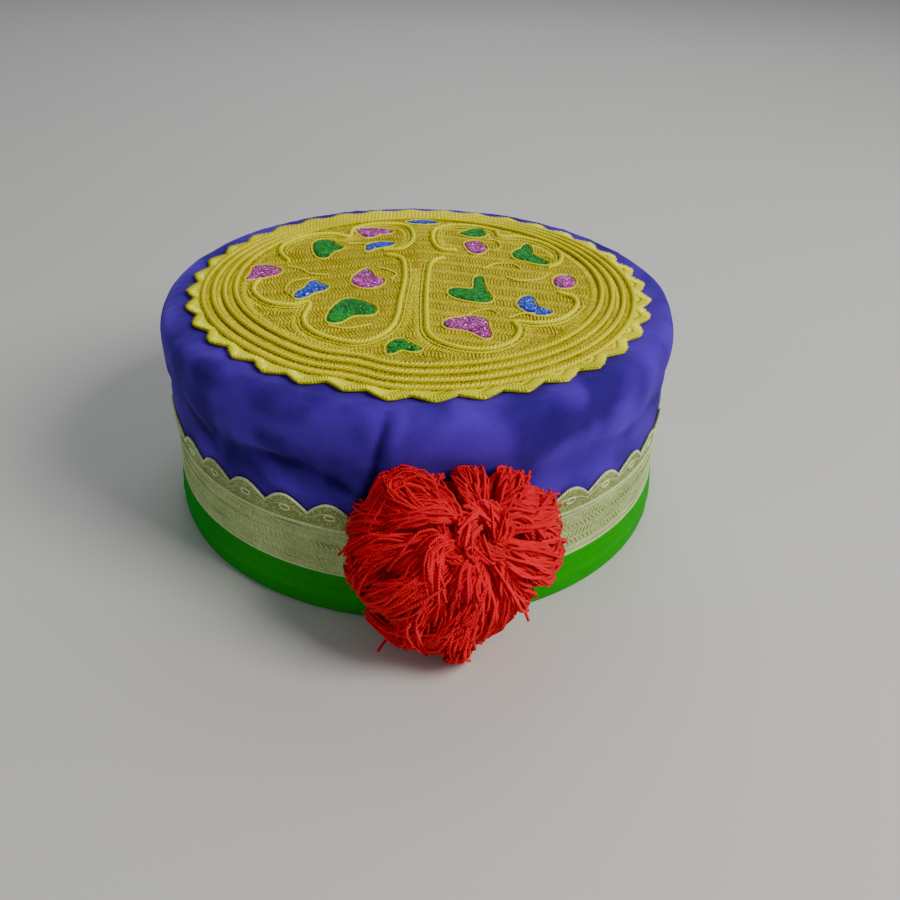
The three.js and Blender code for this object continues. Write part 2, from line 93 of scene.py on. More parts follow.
# The wall's outline: height as a share of SIDE_TOP, and the distance outside WALL_OUTSIDE as a
# share of ROLL_BULGE.
SIDE_OUTLINE = [
    {"up": 0.025, "out": 0.31}, {"up": 0.04, "out": 0.33}, {"up": 0.12, "out": 0.16},
    {"up": 0.205, "out": 0.0}, {"up": 0.43, "out": 0.0}, {"up": 0.49, "out": 0.2},
    {"up": 0.55, "out": 0.44}, {"up": 0.65, "out": 0.6}, {"up": 0.74, "out": 0.75},
    {"up": 0.83, "out": 0.94}, {"up": 0.91, "out": 1.0}, {"up": 0.958, "out": 0.88},
    {"up": 0.988, "out": 0.56}, {"up": 1.008, "out": 0.1}, {"up": 1.018, "out": -0.4},
    {"up": 1.0225, "out": -1.0}, {"up": 1.0215, "out": -2.2}, {"up": 1.02, "out": -4.0},
    {"up": 1.0195, "out": -5.8},
]
# The rows of SIDE_OUTLINE up to the roll's widest place
RISING_ROWS = 11
HEM_RADIUS = WALL_OUTSIDE + ROLL_BULGE * SIDE_OUTLINE[-1]["out"]
VELVET_COLUMNS = 480
VELVET_ROWS = 100

# The lining follows the velvet's outline up to one of its rows, and bulges by so much at most.
LINING_ROWS = 8
UPRIGHT_ROWS = 60
LINING_SWELL = 1.5

# Dents (depth over 0) and swellings (under 0): azimuth and spread in degrees, height and spread
# as shares of SIDE_TOP, depth as a share of ROLL_BULGE.
SOFT_FOLDS = [
    {"azimuth": -22, "spread": 8, "up": 0.73, "tall": 0.08, "depth": 0.7},
    {"azimuth": -13, "spread": 5, "up": 0.6, "tall": 0.07, "depth": -0.35},
    {"azimuth": -46, "spread": 12, "up": 0.69, "tall": 0.07, "depth": 0.5},
    {"azimuth": 6, "spread": 7, "up": 0.76, "tall": 0.07, "depth": 0.32},
    {"azimuth": 34, "spread": 16, "up": 0.69, "tall": 0.07, "depth": 0.5},
    {"azimuth": 66, "spread": 11, "up": 0.74, "tall": 0.08, "depth": 0.4},
    {"azimuth": 104, "spread": 14, "up": 0.7, "tall": 0.08, "depth": 0.48},
    {"azimuth": 146, "spread": 12, "up": 0.73, "tall": 0.07, "depth": 0.42},
    {"azimuth": 182, "spread": 10, "up": 0.68, "tall": 0.08, "depth": -0.26},
    {"azimuth": 214, "spread": 13, "up": 0.71, "tall": 0.07, "depth": 0.48},
    {"azimuth": 262, "spread": 14, "up": 0.73, "tall": 0.08, "depth": 0.38},
]

# Creases: narrow furrows between two azimuths and heights (shares of SIDE_TOP), with the sag of
# the arc between them, the furrow's half-width and its depth in millimetres.
CREASES = [
    {"from": (-38, 0.72), "to": (-10, 0.62), "sag": -0.055, "wide": 1.9, "depth": 1.7},
    {"from": (-33, 0.6), "to": (-15, 0.52), "sag": 0.03, "wide": 2.2, "depth": 0.8},
    {"from": (-58, 0.78), "to": (-44, 0.6), "sag": -0.02, "wide": 2.4, "depth": 0.5},
    {"from": (4, 0.66), "to": (24, 0.7), "sag": 0.03, "wide": 2.2, "depth": 0.5},
    {"from": (30, 0.8), "to": (52, 0.72), "sag": 0.03, "wide": 2.6, "depth": 0.45},
    {"from": (74, 0.62), "to": (92, 0.76), "sag": 0.02, "wide": 2.2, "depth": 0.5},
    {"from": (118, 0.74), "to": (140, 0.66), "sag": -0.03, "wide": 2.4, "depth": 0.5},
    {"from": (166, 0.64), "to": (190, 0.7), "sag": 0.03, "wide": 2.4, "depth": 0.45},
    {"from": (228, 0.72), "to": (246, 0.62), "sag": -0.03, "wide": 2.2, "depth": 0.5},
    {"from": (276, 0.66), "to": (292, 0.76), "sag": 0.02, "wide": 2.4, "depth": 0.45},
]
# No crease of the wall, and no pucker on top, goes deeper than these, so the cloth keeps its thickness.
DEEPEST = 1.9
DEEPEST_PUCKER = 0.5
SEAM = {"azimuth": -6.0, "lean": -9.5, "wide": 0.75, "depth": 2.0}

# The embroidery
APPLIQUE_CENTRE_Y = (APPLIQUE_LOW[1] + APPLIQUE_HIGH[1]) / 2
APPLIQUE_FORWARD = AXIS_Y - APPLIQUE_CENTRE_Y
APPLIQUE_RADIUS = 82.6
APPLIQUE_SCALLOP = 3.4
APPLIQUE_SCALLOPS = 36
APPLIQUE_TURN = -1.5
APPLIQUE_PULLS = [
    {"azimuth": -42, "spread": 26, "depth": 0.65},
    {"azimuth": -18, "spread": 8, "depth": 0.8},
]
BORDER_CORDS = [
    {"name": "border_cord_1", "radius": 0.964, "back": 0.0},
    {"name": "border_cord_2", "radius": 0.922, "back": 0.016},
    {"name": "border_cord_3", "radius": 0.876, "back": 0.034},
    {"name": "border_cord_4", "radius": 0.83, "back": 0.05},
]

# The cords that draw the four leaves, as shares of APPLIQUE_RADIUS.
LEAF_CORDS = {
    "leaf_cord_front_left": [
        (-0.16, 0.36), (-0.085, 0.3), (-0.067, 0.1), (-0.082, -0.15), (-0.1, -0.38), (-0.148, -0.512),
        (-0.241, -0.593), (-0.352, -0.564), (-0.45, -0.48), (-0.488, -0.37), (-0.478, -0.215),
        (-0.56, -0.24), (-0.66, -0.21), (-0.73, -0.11), (-0.74, -0.02), (-0.726, 0.038),
    ],
    "leaf_cord_front_right": [
        (0.12, 0.33), (0.06, 0.27), (0.037, 0.06), (0.03, -0.36), (0.05, -0.53), (0.155, -0.63),
        (0.282, -0.639), (0.385, -0.56), (0.418, -0.46), (0.405, -0.385), (0.5, -0.397), (0.6, -0.355),
        (0.685, -0.235), (0.69, -0.13), (0.625, -0.075),
    ],
    "leaf_cord_back_left": [
        (-0.18, 0.42), (-0.09, 0.44), (-0.034, 0.56), (-0.05, 0.72), (-0.12, 0.775), (-0.25, 0.77),
        (-0.34, 0.7), (-0.355, 0.59), (-0.44, 0.62), (-0.56, 0.6), (-0.655, 0.5), (-0.675, 0.38),
        (-0.62, 0.26),
    ],
    "leaf_cord_back_right": [
        (0.18, 0.42), (0.1, 0.44), (0.065, 0.56), (0.08, 0.71), (0.16, 0.77), (0.28, 0.76),
        (0.385, 0.7), (0.405, 0.62), (0.5, 0.61), (0.61, 0.54), (0.685, 0.41), (0.675, 0.29),
        (0.61, 0.22),
    ],
}

# The stitches of the field lie in rows FIELD_ROW millimetres apart, which slope down from the
# spine by FIELD_SLOPE degrees and reach out to a share of APPLIQUE_RADIUS.
FIELD_ROW = 4.6
FIELD_SLOPE = 14
FIELD_REACH = 0.77

# The stitches: their spacing along a path and their size in millimetres, and how far their slant
# strays, in radians.
BAR_STITCH = {"Spacing": 1.9, "Length": 3.4, "Width": 0.6, "Height": 0.46, "Jitter": 0.12}
RIM_STITCH = {"Spacing": 0.9, "Length": 4.7, "Width": 0.8, "Height": 1.0, "Jitter": 0.13}
ROW_STITCH = {"Spacing": 1.05, "Length": 3.0, "Width": 0.6, "Height": 0.6, "Jitter": 0.1}
LEAF_STITCH = {"Spacing": 1.25, "Length": 3.2, "Width": 0.6, "Height": 0.6, "Jitter": 0.12}
COMB_STITCH = {"Spacing": 1.3, "Length": 3.4, "Width": 0.6, "Height": 0.6, "Jitter": 0.14}
FIELD_STITCH = {"Spacing": 1.25, "Length": 5.6, "Width": 0.8, "Height": 0.7, "Jitter": 0.14}

# The twisted cords: their radius as a share of the solids' round ones, and the pitch of their twist
BORDER_SWELL = 1.4
BORDER_PITCH = 3.2
LEAF_SWELL = 1.45
LEAF_PITCH = 3.0

# A fine thread of the embroidery: its radius and the pitch of its twist
THREAD_RADIUS = 0.5
THREAD_PITCH = 1.8

# Short curls of thread beside the petals, as shares of APPLIQUE_RADIUS.
CURLS = [
    [(-0.2, 0.2), (-0.15, 0.17), (-0.11, 0.12), (-0.13, 0.06)],
    [(-0.62, 0.2), (-0.56, 0.17), (-0.5, 0.11), (-0.42, 0.1)],
    [(-0.36, 0.5), (-0.28, 0.5), (-0.22, 0.44), (-0.26, 0.38)],
    [(0.34, -0.3), (0.3, -0.26), (0.24, -0.28), (0.2, -0.33)],
    [(0.38, -0.34), (0.44, -0.3), (0.5, -0.3)],
    [(0.4, 0.1), (0.46, 0.06), (0.55, 0.08), (0.6, 0.14)],
    [(0.3, 0.2), (0.36, 0.26), (0.44, 0.26), (0.48, 0.2)],
    [(-0.38, -0.44), (-0.3, -0.46), (-0.2, -0.42)],
    [(-0.56, -0.14), (-0.6, -0.08), (-0.58, 0.02), (-0.5, 0.06)],
    [(0.36, 0.42), (0.4, 0.48), (0.38, 0.56), (0.32, 0.58)],
]

# The petals' outlines, anticlockwise from above, as shares of APPLIQUE_RADIUS.
PETALS = {
    "petal_green_1": [
        (-0.336, -0.406), (-0.306, -0.356), (-0.268, -0.325), (-0.233, -0.331), (-0.202, -0.324),
        (-0.187, -0.276), (-0.198, -0.228), (-0.289, -0.162), (-0.335, -0.172), (-0.37, -0.246),
        (-0.389, -0.335), (-0.384, -0.401)],
    "petal_green_2": [
        (0.161, -0.142), (0.277, -0.187), (0.315, -0.171), (0.321, -0.126), (0.298, -0.033),
        (0.287, 0.109), (0.261, 0.103), (0.25, 0.045), (0.245, -0.04), (0.202, -0.036),
        (0.145, -0.03), (0.128, -0.073)],
    "petal_green_3": [
        (-0.119, -0.69), (-0.094, -0.668), (-0.067, -0.646), (-0.027, -0.665), (0.009, -0.642),
        (-0.033, -0.595), (-0.065, -0.555), (-0.102, -0.562), (-0.127, -0.607), (-0.13, -0.663)],
    "petal_green_4": [
        (-0.511, 0.379), (-0.482, 0.311), (-0.45, 0.312), (-0.424, 0.391), (-0.394, 0.418),
        (-0.374, 0.46), (-0.412, 0.489), (-0.432, 0.534), (-0.47, 0.551), (-0.515, 0.531),
        (-0.526, 0.476)],
    "petal_green_5": [
        (0.469, 0.325), (0.509, 0.301), (0.579, 0.26), (0.624, 0.268), (0.596, 0.329),
        (0.553, 0.381), (0.552, 0.441), (0.547, 0.521), (0.524, 0.528), (0.505, 0.468),
        (0.466, 0.431), (0.452, 0.38)],
    "petal_green_6": [
        (0.218, 0.645), (0.25, 0.623), (0.288, 0.614), (0.322, 0.626), (0.338, 0.697),
        (0.32, 0.732), (0.277, 0.734), (0.236, 0.701), (0.199, 0.668)],
    "petal_pink_1": [
        (0.117, -0.446), (0.17, -0.458), (0.21, -0.477), (0.243, -0.512), (0.276, -0.547),
        (0.296, -0.508), (0.286, -0.428), (0.283, -0.36), (0.216, -0.326), (0.167, -0.349),
        (0.119, -0.361), (0.101, -0.405)],
    "petal_pink_2": [
        (-0.285, -0.019), (-0.247, -0.041), (-0.206, -0.032), (-0.171, 0.007), (-0.167, 0.068),
        (-0.211, 0.091), (-0.225, 0.146), (-0.249, 0.186), (-0.275, 0.152), (-0.303, 0.088),
        (-0.308, 0.018)],
    "petal_pink_3": [
        (-0.764, 0.047), (-0.728, 0.052), (-0.701, 0.076), (-0.661, 0.097), (-0.646, 0.157),
        (-0.699, 0.204), (-0.743, 0.211), (-0.778, 0.19), (-0.778, 0.121), (-0.792, 0.034)],
    "petal_pink_4": [
        (0.628, -0.005), (0.657, -0.017), (0.694, -0.003), (0.719, 0.067), (0.7, 0.125),
        (0.675, 0.132), (0.632, 0.106), (0.618, 0.04)],
    "petal_pink_5": [
        (0.231, 0.473), (0.245, 0.419), (0.272, 0.386), (0.3, 0.401), (0.326, 0.445),
        (0.326, 0.491), (0.296, 0.549), (0.258, 0.556), (0.227, 0.532)],
    "petal_pink_6": [
        (-0.308, 0.647), (-0.282, 0.595), (-0.245, 0.593), (-0.206, 0.636), (-0.158, 0.647),
        (-0.139, 0.686), (-0.195, 0.713), (-0.271, 0.72), (-0.331, 0.698)],
    "petal_blue_1": [
        (-0.529, -0.166), (-0.497, -0.136), (-0.465, -0.092), (-0.431, -0.076), (-0.414, -0.023),
        (-0.449, -0.002), (-0.471, 0.036), (-0.5, 0.02), (-0.517, -0.049), (-0.548, -0.094),
        (-0.551, -0.152)],
    "petal_blue_2": [
        (0.456, -0.263), (0.484, -0.298), (0.525, -0.311), (0.563, -0.296), (0.573, -0.26),
        (0.533, -0.232), (0.512, -0.188), (0.506, -0.128), (0.483, -0.106), (0.448, -0.137),
        (0.431, -0.205)],
    "petal_blue_3": [
        (-0.25, 0.406), (-0.225, 0.438), (-0.186, 0.461), (-0.147, 0.48), (-0.128, 0.517),
        (-0.175, 0.529), (-0.228, 0.518), (-0.26, 0.486), (-0.263, 0.414)],
    "petal_blue_4": [
        (-0.045, 0.803), (0.012, 0.794), (0.068, 0.8), (0.097, 0.815), (0.068, 0.84),
        (0.012, 0.85), (-0.045, 0.841), (-0.073, 0.822)],
}


# A petal's height over its edge, the width of its rounded shoulder and the spacing of its mesh,
# and the size of a flake of glitter
PETAL_RISE = 0.95
PETAL_SHOULDER = 2.0
PETAL_GRID = 0.7
FLAKE_SIZE = 0.62
FLAKE_THICKNESS = 0.2

# The braid
BRAID_SCALLOPS = 36
BRAID_TURN = -2.5
BRAID_SCALLOP = BRAID_TIP - BRAID_LINE
# The heights of the rows of bars, as shares of the way from the braid's foot to its ridge
BAR_ROWS = (0.25, 0.42, 0.59, 0.76)
# The ring in each scallop: its half-width in degrees, which is its half-height in millimetres too,
# its height above the ridge and its thread's radius
EYE_RADIUS = 1.15
EYE_HEIGHT = 4.9
EYE_THREAD = 0.34

# The pompom
POMPOM_AZIMUTH = 6.3
POMPOM_OUT = 97.0
POMPOM_HALF_WIDTH = 32.4
POMPOM_DEPTH = 29.0
POMPOM_TAPER = 0.25
POMPOM_RIGHT_TAPER = 0.2
YARN_RADIUS = 0.62
YARN_COUNT = 3600
YARN_STEPS = 9
# The number of locks, how far into the hat's side of the ball yarn is sewn, and the size of its
# dense middle, the last two as shares of the ball's half size
LOCKS = 90
BACK_LIMIT = 0.25
HEART_SHARE = 0.78
TABLE_CLEARANCE = 0.7


# Curves and surfaces

def smoothstep(value, low, high):
    share = np.clip((value - low) / (high - low), 0.0, 1.0)
    return share * share * (3.0 - 2.0 * share)


def apart(azimuth, centre):
    """The signed difference of two azimuths."""
    return (azimuth - centre + 180.0) % 360.0 - 180.0


def bell(distance, spread):
    return np.exp(-((distance / spread) ** 2))


def unit(vectors):
    return vectors / np.maximum(np.linalg.norm(vectors, axis=-1, keepdims=True), 1e-9)


def spline(points, count, closed=False):
    """Points spaced evenly along a Catmull-Rom curve through the given ones."""
    points = np.asarray(points, float)
    if closed:
        ring = np.vstack([points[-1:], points, points[:2]])
    else:
        ring = np.vstack([2 * points[:1] - points[1:2], points, 2 * points[-1:] - points[-2:-1]])
    share = np.linspace(0, 1, 24, endpoint=False)[:, None]
    pieces = []
    for a, b, c, d in zip(ring, ring[1:], ring[2:], ring[3:]):
        pieces.append(0.5 * (2 * b + (c - a) * share + (2 * a - 5 * b + 4 * c - d) * share ** 2
                             + (3 * b - a - 3 * c + d) * share ** 3))
    pieces.append(points[:1] if closed else points[-1:])
    return evenly(np.vstack(pieces), count, closed)


def evenly(path, count, closed):
    """The same path with evenly spaced points. A closed path comes in with its first point repeated."""
    lengths = np.concatenate([[0], np.cumsum(np.linalg.norm(np.diff(path, axis=0), axis=1))])
    places = np.linspace(0, lengths[-1], count, endpoint=not closed)
    return np.stack([np.interp(places, lengths, path[:, k]) for k in range(path.shape[1])], -1)


def length_of(path, closed):
    steps = np.diff(np.vstack([path, path[:1]]) if closed else path, axis=0)
    return np.linalg.norm(steps, axis=1).sum()


def ripple(azimuth, up, waves, seed, count=9):
    """Smooth irregular waves round the hat and up its wall, within about -1 to 1."""
    random = np.random.default_rng(seed)
    total = 0.0
    for _ in range(count):
        turns = random.integers(waves[0], waves[1])
        total = total + np.sin(np.radians(azimuth) * turns + up * random.uniform(-9, 9)
                               + random.uniform(0, 2 * math.pi))
    return total / math.sqrt(count)


def round_points(azimuth, radius, height):
    """Points in millimetres from azimuths, radii and heights about the hat's axis."""
    azimuth, radius, height = np.broadcast_arrays(np.radians(azimuth), radius, height)
    return np.stack([AXIS_X + radius * np.sin(azimuth), AXIS_Y - radius * np.cos(azimuth), height], -1)


def around(count):
    """Azimuths spaced evenly round the hat."""
    return np.arange(count) * 360.0 / count


def rings(values, azimuth):
    """A profile's values, one for each row, repeated at every azimuth."""
    return np.asarray(values)[:, None] + 0 * azimuth


# Meshes

def grid_faces(rows, columns, wrap_rows=False, wrap_columns=True):
    """Quads of a grid, facing out where its rows run up an outside and its columns run round."""
    row, column = np.meshgrid(np.arange(rows if wrap_rows else rows - 1),
                              np.arange(columns if wrap_columns else columns - 1), indexing="ij")
    below, beside = (row + 1) % rows, (column + 1) % columns
    return np.stack([row * columns + column, row * columns + beside,
                     below * columns + beside, below * columns + column], -1).reshape(-1, 4)


def grid_pattern(rows, columns, wrap_rows, size):
    """UV coordinates in millimetres for the quads of grid_faces: round the hat, and up it."""
    spans = rows if wrap_rows else rows - 1
    row, column = np.meshgrid(np.arange(spans), np.arange(columns), indexing="ij")
    corners = [(column, row), (column + 1, row), (column + 1, row + 1), (column, row + 1)]
    return np.stack([np.stack([u / columns * size[0], v / spans * size[1]], -1)
                     for u, v in corners], -2).reshape(-1, 2)


def new_piece(name, points, faces, pattern=None, smooth=True):
    """An object from points in millimetres."""
    mesh = bpy.data.meshes.new(name)
    mesh.from_pydata((np.asarray(points) * MM).tolist(), [], [list(face) for face in faces])
    if pattern is not None:
        mesh.uv_layers.new(name="pattern").uv.foreach_set("vector", pattern.ravel())
    mesh.polygons.foreach_set("use_smooth", np.full(len(mesh.polygons), smooth))
    mesh.update()
    piece = bpy.data.objects.new(name, mesh)
    bpy.context.scene.collection.objects.link(piece)
    return piece


def add_attribute(piece, name, values):
    layer = piece.data.attributes.new(name, "FLOAT", "POINT")
    layer.data.foreach_set("value", np.asarray(values, float))


def ring_piece(name, azimuth, radius, height, girth):
    """A closed ring whose profile, given in rows, runs up its outside and down its inside."""
    points = round_points(azimuth, radius, height)
    rows, columns = points.shape[:2]
    profile = length_of(points[:, 0], True)
    return new_piece(name, points.reshape(-1, 3), grid_faces(rows, columns, True),
                     grid_pattern(rows, columns, True, (girth, profile)))


def disc_piece(name, azimuth, radius, height, centre_y, girth):
    """A closed disc whose profile runs from the axis out along its underside and back on top."""
    points = round_points(azimuth, radius, height)
    points[..., 1] += centre_y - AXIS_Y
    rows, columns = points.shape[:2]
    bottom, top = points[0].mean(0), points[-1].mean(0)
    faces = grid_faces(rows, columns).tolist()
    under, over = rows * columns, rows * columns + 1
    last = (rows - 1) * columns
    for column in range(columns):
        beside = (column + 1) % columns
        faces.append([under, beside, column])
        faces.append([last + column, last + beside, over])
    pattern = np.vstack([grid_pattern(rows, columns, False, (girth, rows)), np.zeros((6 * columns, 2))])
    return new_piece(name, np.vstack([points.reshape(-1, 3), bottom, top]), faces, pattern)


def tubes(paths, radius, sides, closed=False, up=(0.0, 0.0, 1.0)):
    """Points, faces and UVs of round tubes along paths of equal count; ends of open ones are capped."""
    paths = np.asarray(paths, float)
    count, steps = paths.shape[:2]
    if closed:
        tangent = unit(np.roll(paths, -1, 1) - np.roll(paths, 1, 1))
    else:
        tangent = unit(np.gradient(paths, axis=1))
    side = unit(np.cross(tangent, np.asarray(up, float)))
    lift = np.cross(side, tangent)
    angle = 2 * math.pi * np.arange(sides) / sides
    reach = np.broadcast_to(np.asarray(radius, float), (count, steps))[..., None, None]
    points = paths[:, :, None] + reach * (np.cos(angle)[:, None] * side[:, :, None]
                                          - np.sin(angle)[:, None] * lift[:, :, None])
    quads = grid_faces(steps, sides, closed)
    along = length_of(paths[0], closed)
    pattern = grid_pattern(steps, sides, closed, (1.0, along))
    faces = (quads[None] + (np.arange(count) * steps * sides)[:, None, None]).reshape(-1, 4).tolist()
    patterns = [np.tile(pattern, (count, 1))]
    if not closed:
        first = np.arange(sides)[::-1]
        last = (steps - 1) * sides + np.arange(sides)
        for tube in range(count):
            faces.append((tube * steps * sides + first).tolist())
            faces.append((tube * steps * sides + last).tolist())
        patterns.append(np.zeros((2 * count * sides, 2)))
    return points.reshape(-1, 3), faces, np.vstack(patterns)


def joined(parts):
    """One set of points, faces and UVs from several."""
    points, faces, patterns, offset = [], [], [], 0
    for part_points, part_faces, part_pattern in parts:
        points.append(part_points)
        faces += [[index + offset for index in face] for face in part_faces]
        patterns.append(part_pattern)
        offset += len(part_points)
    return np.vstack(points), faces, np.vstack(patterns)


# The two plies of a cord, as shares of its radius
PLY_OFFSET = 0.46
PLY_RADIUS = 0.56


def twisted(path, radius, pitch, closed, side, sides=5, steps_per_turn=7):
    """A cord of two plies wound round each other along a path; side is its level direction."""
    turns = max(1, round(length_of(path, closed) / pitch))
    count = turns * steps_per_turn
    both = np.hstack([path, side])
    both = evenly(np.vstack([both, both[:1]]) if closed else both, count, closed)
    path = both[:, :3]
    side = unit(both[:, 3:])
    if closed:
        tangent = unit(np.roll(path, -1, 0) - np.roll(path, 1, 0))
    else:
        tangent = unit(np.gradient(path, axis=0))
    lift = np.cross(side, tangent)
    phase = 2 * math.pi * turns * np.arange(count) / count
    plies = []
    for start in (0.0, math.pi):
        swing = np.cos(phase + start)[:, None] * side + np.sin(phase + start)[:, None] * lift
        plies.append(path + PLY_OFFSET * radius * swing)
    return tubes(plies, PLY_RADIUS * radius, sides, closed)


# Node trees

def add(tree, kind, inputs=None, **settings):
    """Adds a node, sets its properties, and sets or links its inputs."""
    made = tree.nodes.new(kind)
    for key, value in settings.items():
        setattr(made, key, value)
    for key, value in (inputs or {}).items():
        if isinstance(value, bpy.types.NodeSocket):
            tree.links.new(value, made.inputs[key])
        else:
            made.inputs[key].default_value = value
    return made


def new_group(name, kind, inputs, outputs):
    """A node group with named sockets, each given as its name, type and default."""
    tree = bpy.data.node_groups.new(name, kind)
    for label, socket, default in inputs:
        made = tree.interface.new_socket(label, in_out="INPUT", socket_type="NodeSocket" + socket)
        if default is not None:
            made.default_value = default
    for label, socket in outputs:
        tree.interface.new_socket(label, in_out="OUTPUT", socket_type="NodeSocket" + socket)
    return tree, tree.nodes.new("NodeGroupInput").outputs, tree.nodes.new("NodeGroupOutput")


def maths(tree, operation, *values):
    return add(tree, "ShaderNodeMath", dict(enumerate(values)), operation=operation).outputs[0]


def scaled(tree, vector, factor):
    return add(tree, "ShaderNodeVectorMath", {0: vector, "Scale": factor}, operation="SCALE").outputs[0]


def mixed(tree, factor, first, second):
    """A mix of two colours: sockets 6 and 7 take them, and output 2 gives the result."""
    made = add(tree, "ShaderNodeMix", {"Factor": factor, 6: first, 7: second}, data_type="RGBA")
    return made.outputs[2]


def object_place(tree):
    return add(tree, "ShaderNodeTexCoord").outputs["Object"]


def per_metre(tree, size):
    """The scale of a pattern from the size of its cells in millimetres."""
    return maths(tree, "DIVIDE", 1 / MM, size)


def srgb(red, green, blue):
    """A colour for a shader from the 0 to 255 values that a picture shows."""
    return [(v / 12.92 if v <= 0.04045 else ((v + 0.055) / 1.055) ** 2.4)
            for v in (red / 255, green / 255, blue / 255)] + [1.0]


# Effects that several materials share

def nap_group():
    """Pile brushed one way and another: broad soft patches, and the height of its fibres."""
    tree, given, put = new_group(
        "nap", "ShaderNodeTree",
        [("Patch Size", "Float", 14.0), ("Fibre Size", "Float", 0.35)],
        [("Patches", "Float"), ("Fibres", "Float")])
    place = object_place(tree)
    patch = add(tree, "ShaderNodeTexNoise", {
        "Vector": place, "Scale": per_metre(tree, given["Patch Size"]),
        "Detail": 2.0, "Roughness": 0.4, "Distortion": 0.3})
    fibre = add(tree, "ShaderNodeTexNoise", {
        "Vector": place, "Scale": per_metre(tree, given["Fibre Size"]),
        "Detail": 2.0, "Roughness": 0.6})
    spread = add(tree, "ShaderNodeMapRange", {
        "Value": patch.outputs["Fac"], "From Min": 0.36, "From Max": 0.66}, interpolation_type="SMOOTHSTEP")
    tree.links.new(spread.outputs["Result"], put.inputs["Patches"])
    tree.links.new(fibre.outputs["Fac"], put.inputs["Fibres"])
    return tree


def thread_group():
    """Threads laid side by side: the round height of each, and a shade that differs from one to the next."""
    tree, given, put = new_group(
        "laid_thread", "ShaderNodeTree",
        [("Across", "Float", 0.0), ("Pitch", "Float", 0.6), ("Wander", "Float", 0.15)],
        [("Height", "Float"), ("Shade", "Float")])
    place = object_place(tree)
    drift = add(tree, "ShaderNodeTexNoise", {"Vector": place, "Scale": 420.0, "Detail": 1.0})
    moved = maths(tree, "ADD", given["Across"], maths(
        tree, "MULTIPLY", maths(tree, "SUBTRACT", drift.outputs["Fac"], 0.5), given["Wander"]))
    count = maths(tree, "DIVIDE", moved, given["Pitch"])
    middle = maths(tree, "MULTIPLY_ADD", maths(tree, "FRACT", count), 2.0, -1.0)
    height = maths(tree, "SUBTRACT", 1.0, maths(tree, "MULTIPLY", middle, middle))
    shade = add(tree, "ShaderNodeTexWhiteNoise", {"W": maths(tree, "FLOOR", count)}, noise_dimensions="1D")
    tree.links.new(height, put.inputs["Height"])
    tree.links.new(shade.outputs["Value"], put.inputs["Shade"])
    return tree


def glitter_group():
    """Bright flakes: a mask of the cells that catch the light, where materials paint glints, and a shade for
    each cell.
    """
    tree, given, put = new_group(
        "glitter", "ShaderNodeTree",
        [("Flake Size", "Float", 0.5), ("Amount", "Float", 0.3)],
        [("Flakes", "Float"), ("Shade", "Float")])
    place = object_place(tree)
    cells = add(tree, "ShaderNodeTexVoronoi", {
        "Vector": place, "Scale": per_metre(tree, given["Flake Size"])})
    parts = add(tree, "ShaderNodeSeparateColor", {"Color": cells.outputs["Color"]})
    lit = maths(tree, "LESS_THAN", parts.outputs[0], given["Amount"])
    tree.links.new(lit, put.inputs["Flakes"])
    tree.links.new(parts.outputs[1], put.inputs["Shade"])
    return tree


def wear_group():
    """A colour that varies softly over the piece, as handled cloth does."""
    tree, given, put = new_group(
        "soft_wear", "ShaderNodeTree",
        [("Color", "Color", (0.5, 0.5, 0.5, 1.0)), ("Size", "Float", 20.0), ("Strength", "Float", 0.2)],
        [("Color", "Color")])
    place = object_place(tree)
    broad = add(tree, "ShaderNodeTexNoise", {
        "Vector": place, "Scale": per_metre(tree, given["Size"]), "Detail": 4.0})
    change = maths(tree, "MULTIPLY", maths(tree, "SUBTRACT", broad.outputs["Fac"], 0.5), given["Strength"])
    value = maths(tree, "MULTIPLY_ADD", change, 2.0, 1.0)
    coloured = add(tree, "ShaderNodeHueSaturation", {"Color": given["Color"], "Value": value})
    tree.links.new(coloured.outputs["Color"], put.inputs["Color"])
    return tree


NAP = nap_group()
THREAD = thread_group()
GLITTER = glitter_group()
WEAR = wear_group()


def filled(tree, group, inputs):
    """A group placed in a material with its own values."""
    return add(tree, "ShaderNodeGroup", inputs, node_tree=group)


def new_material(name, **settings):
    """A material, its tree and its Principled shader with plain values set on the shader's sockets."""
    material = bpy.data.materials.new(name)
    material.use_nodes = True
    tree = material.node_tree
    shader = tree.nodes["Principled BSDF"]
    for key, value in settings.items():
        shader.inputs[key.replace("_", " ")].default_value = value
    return material, tree, shader


def bump(tree, shader, height, distance, strength=1.0):
    """Relief from a height, over a distance in millimetres."""
    made = add(tree, "ShaderNodeBump", {"Height": height, "Distance": distance * MM, "Strength": strength})
    tree.links.new(made.outputs["Normal"], shader.inputs["Normal"])


def colour(tree, shader, base, size, strength):
    """A base colour that soft wear varies, in patches of a size in millimetres."""
    worn = filled(tree, WEAR, {"Color": base, "Size": size, "Strength": strength})
    tree.links.new(worn.outputs["Color"], shader.inputs["Base Color"])


def rough(tree, shader, mask, change, plain):
    """A roughness that a mask changes from its plain value."""
    tree.links.new(maths(tree, "MULTIPLY_ADD", mask, change, plain), shader.inputs["Roughness"])


def pattern_axes(tree):
    """The two directions of a piece's own pattern, in millimetres."""
    place = add(tree, "ShaderNodeUVMap", uv_map="pattern").outputs["UV"]
    return add(tree, "ShaderNodeSeparateXYZ", {"Vector": place}).outputs


# Materials

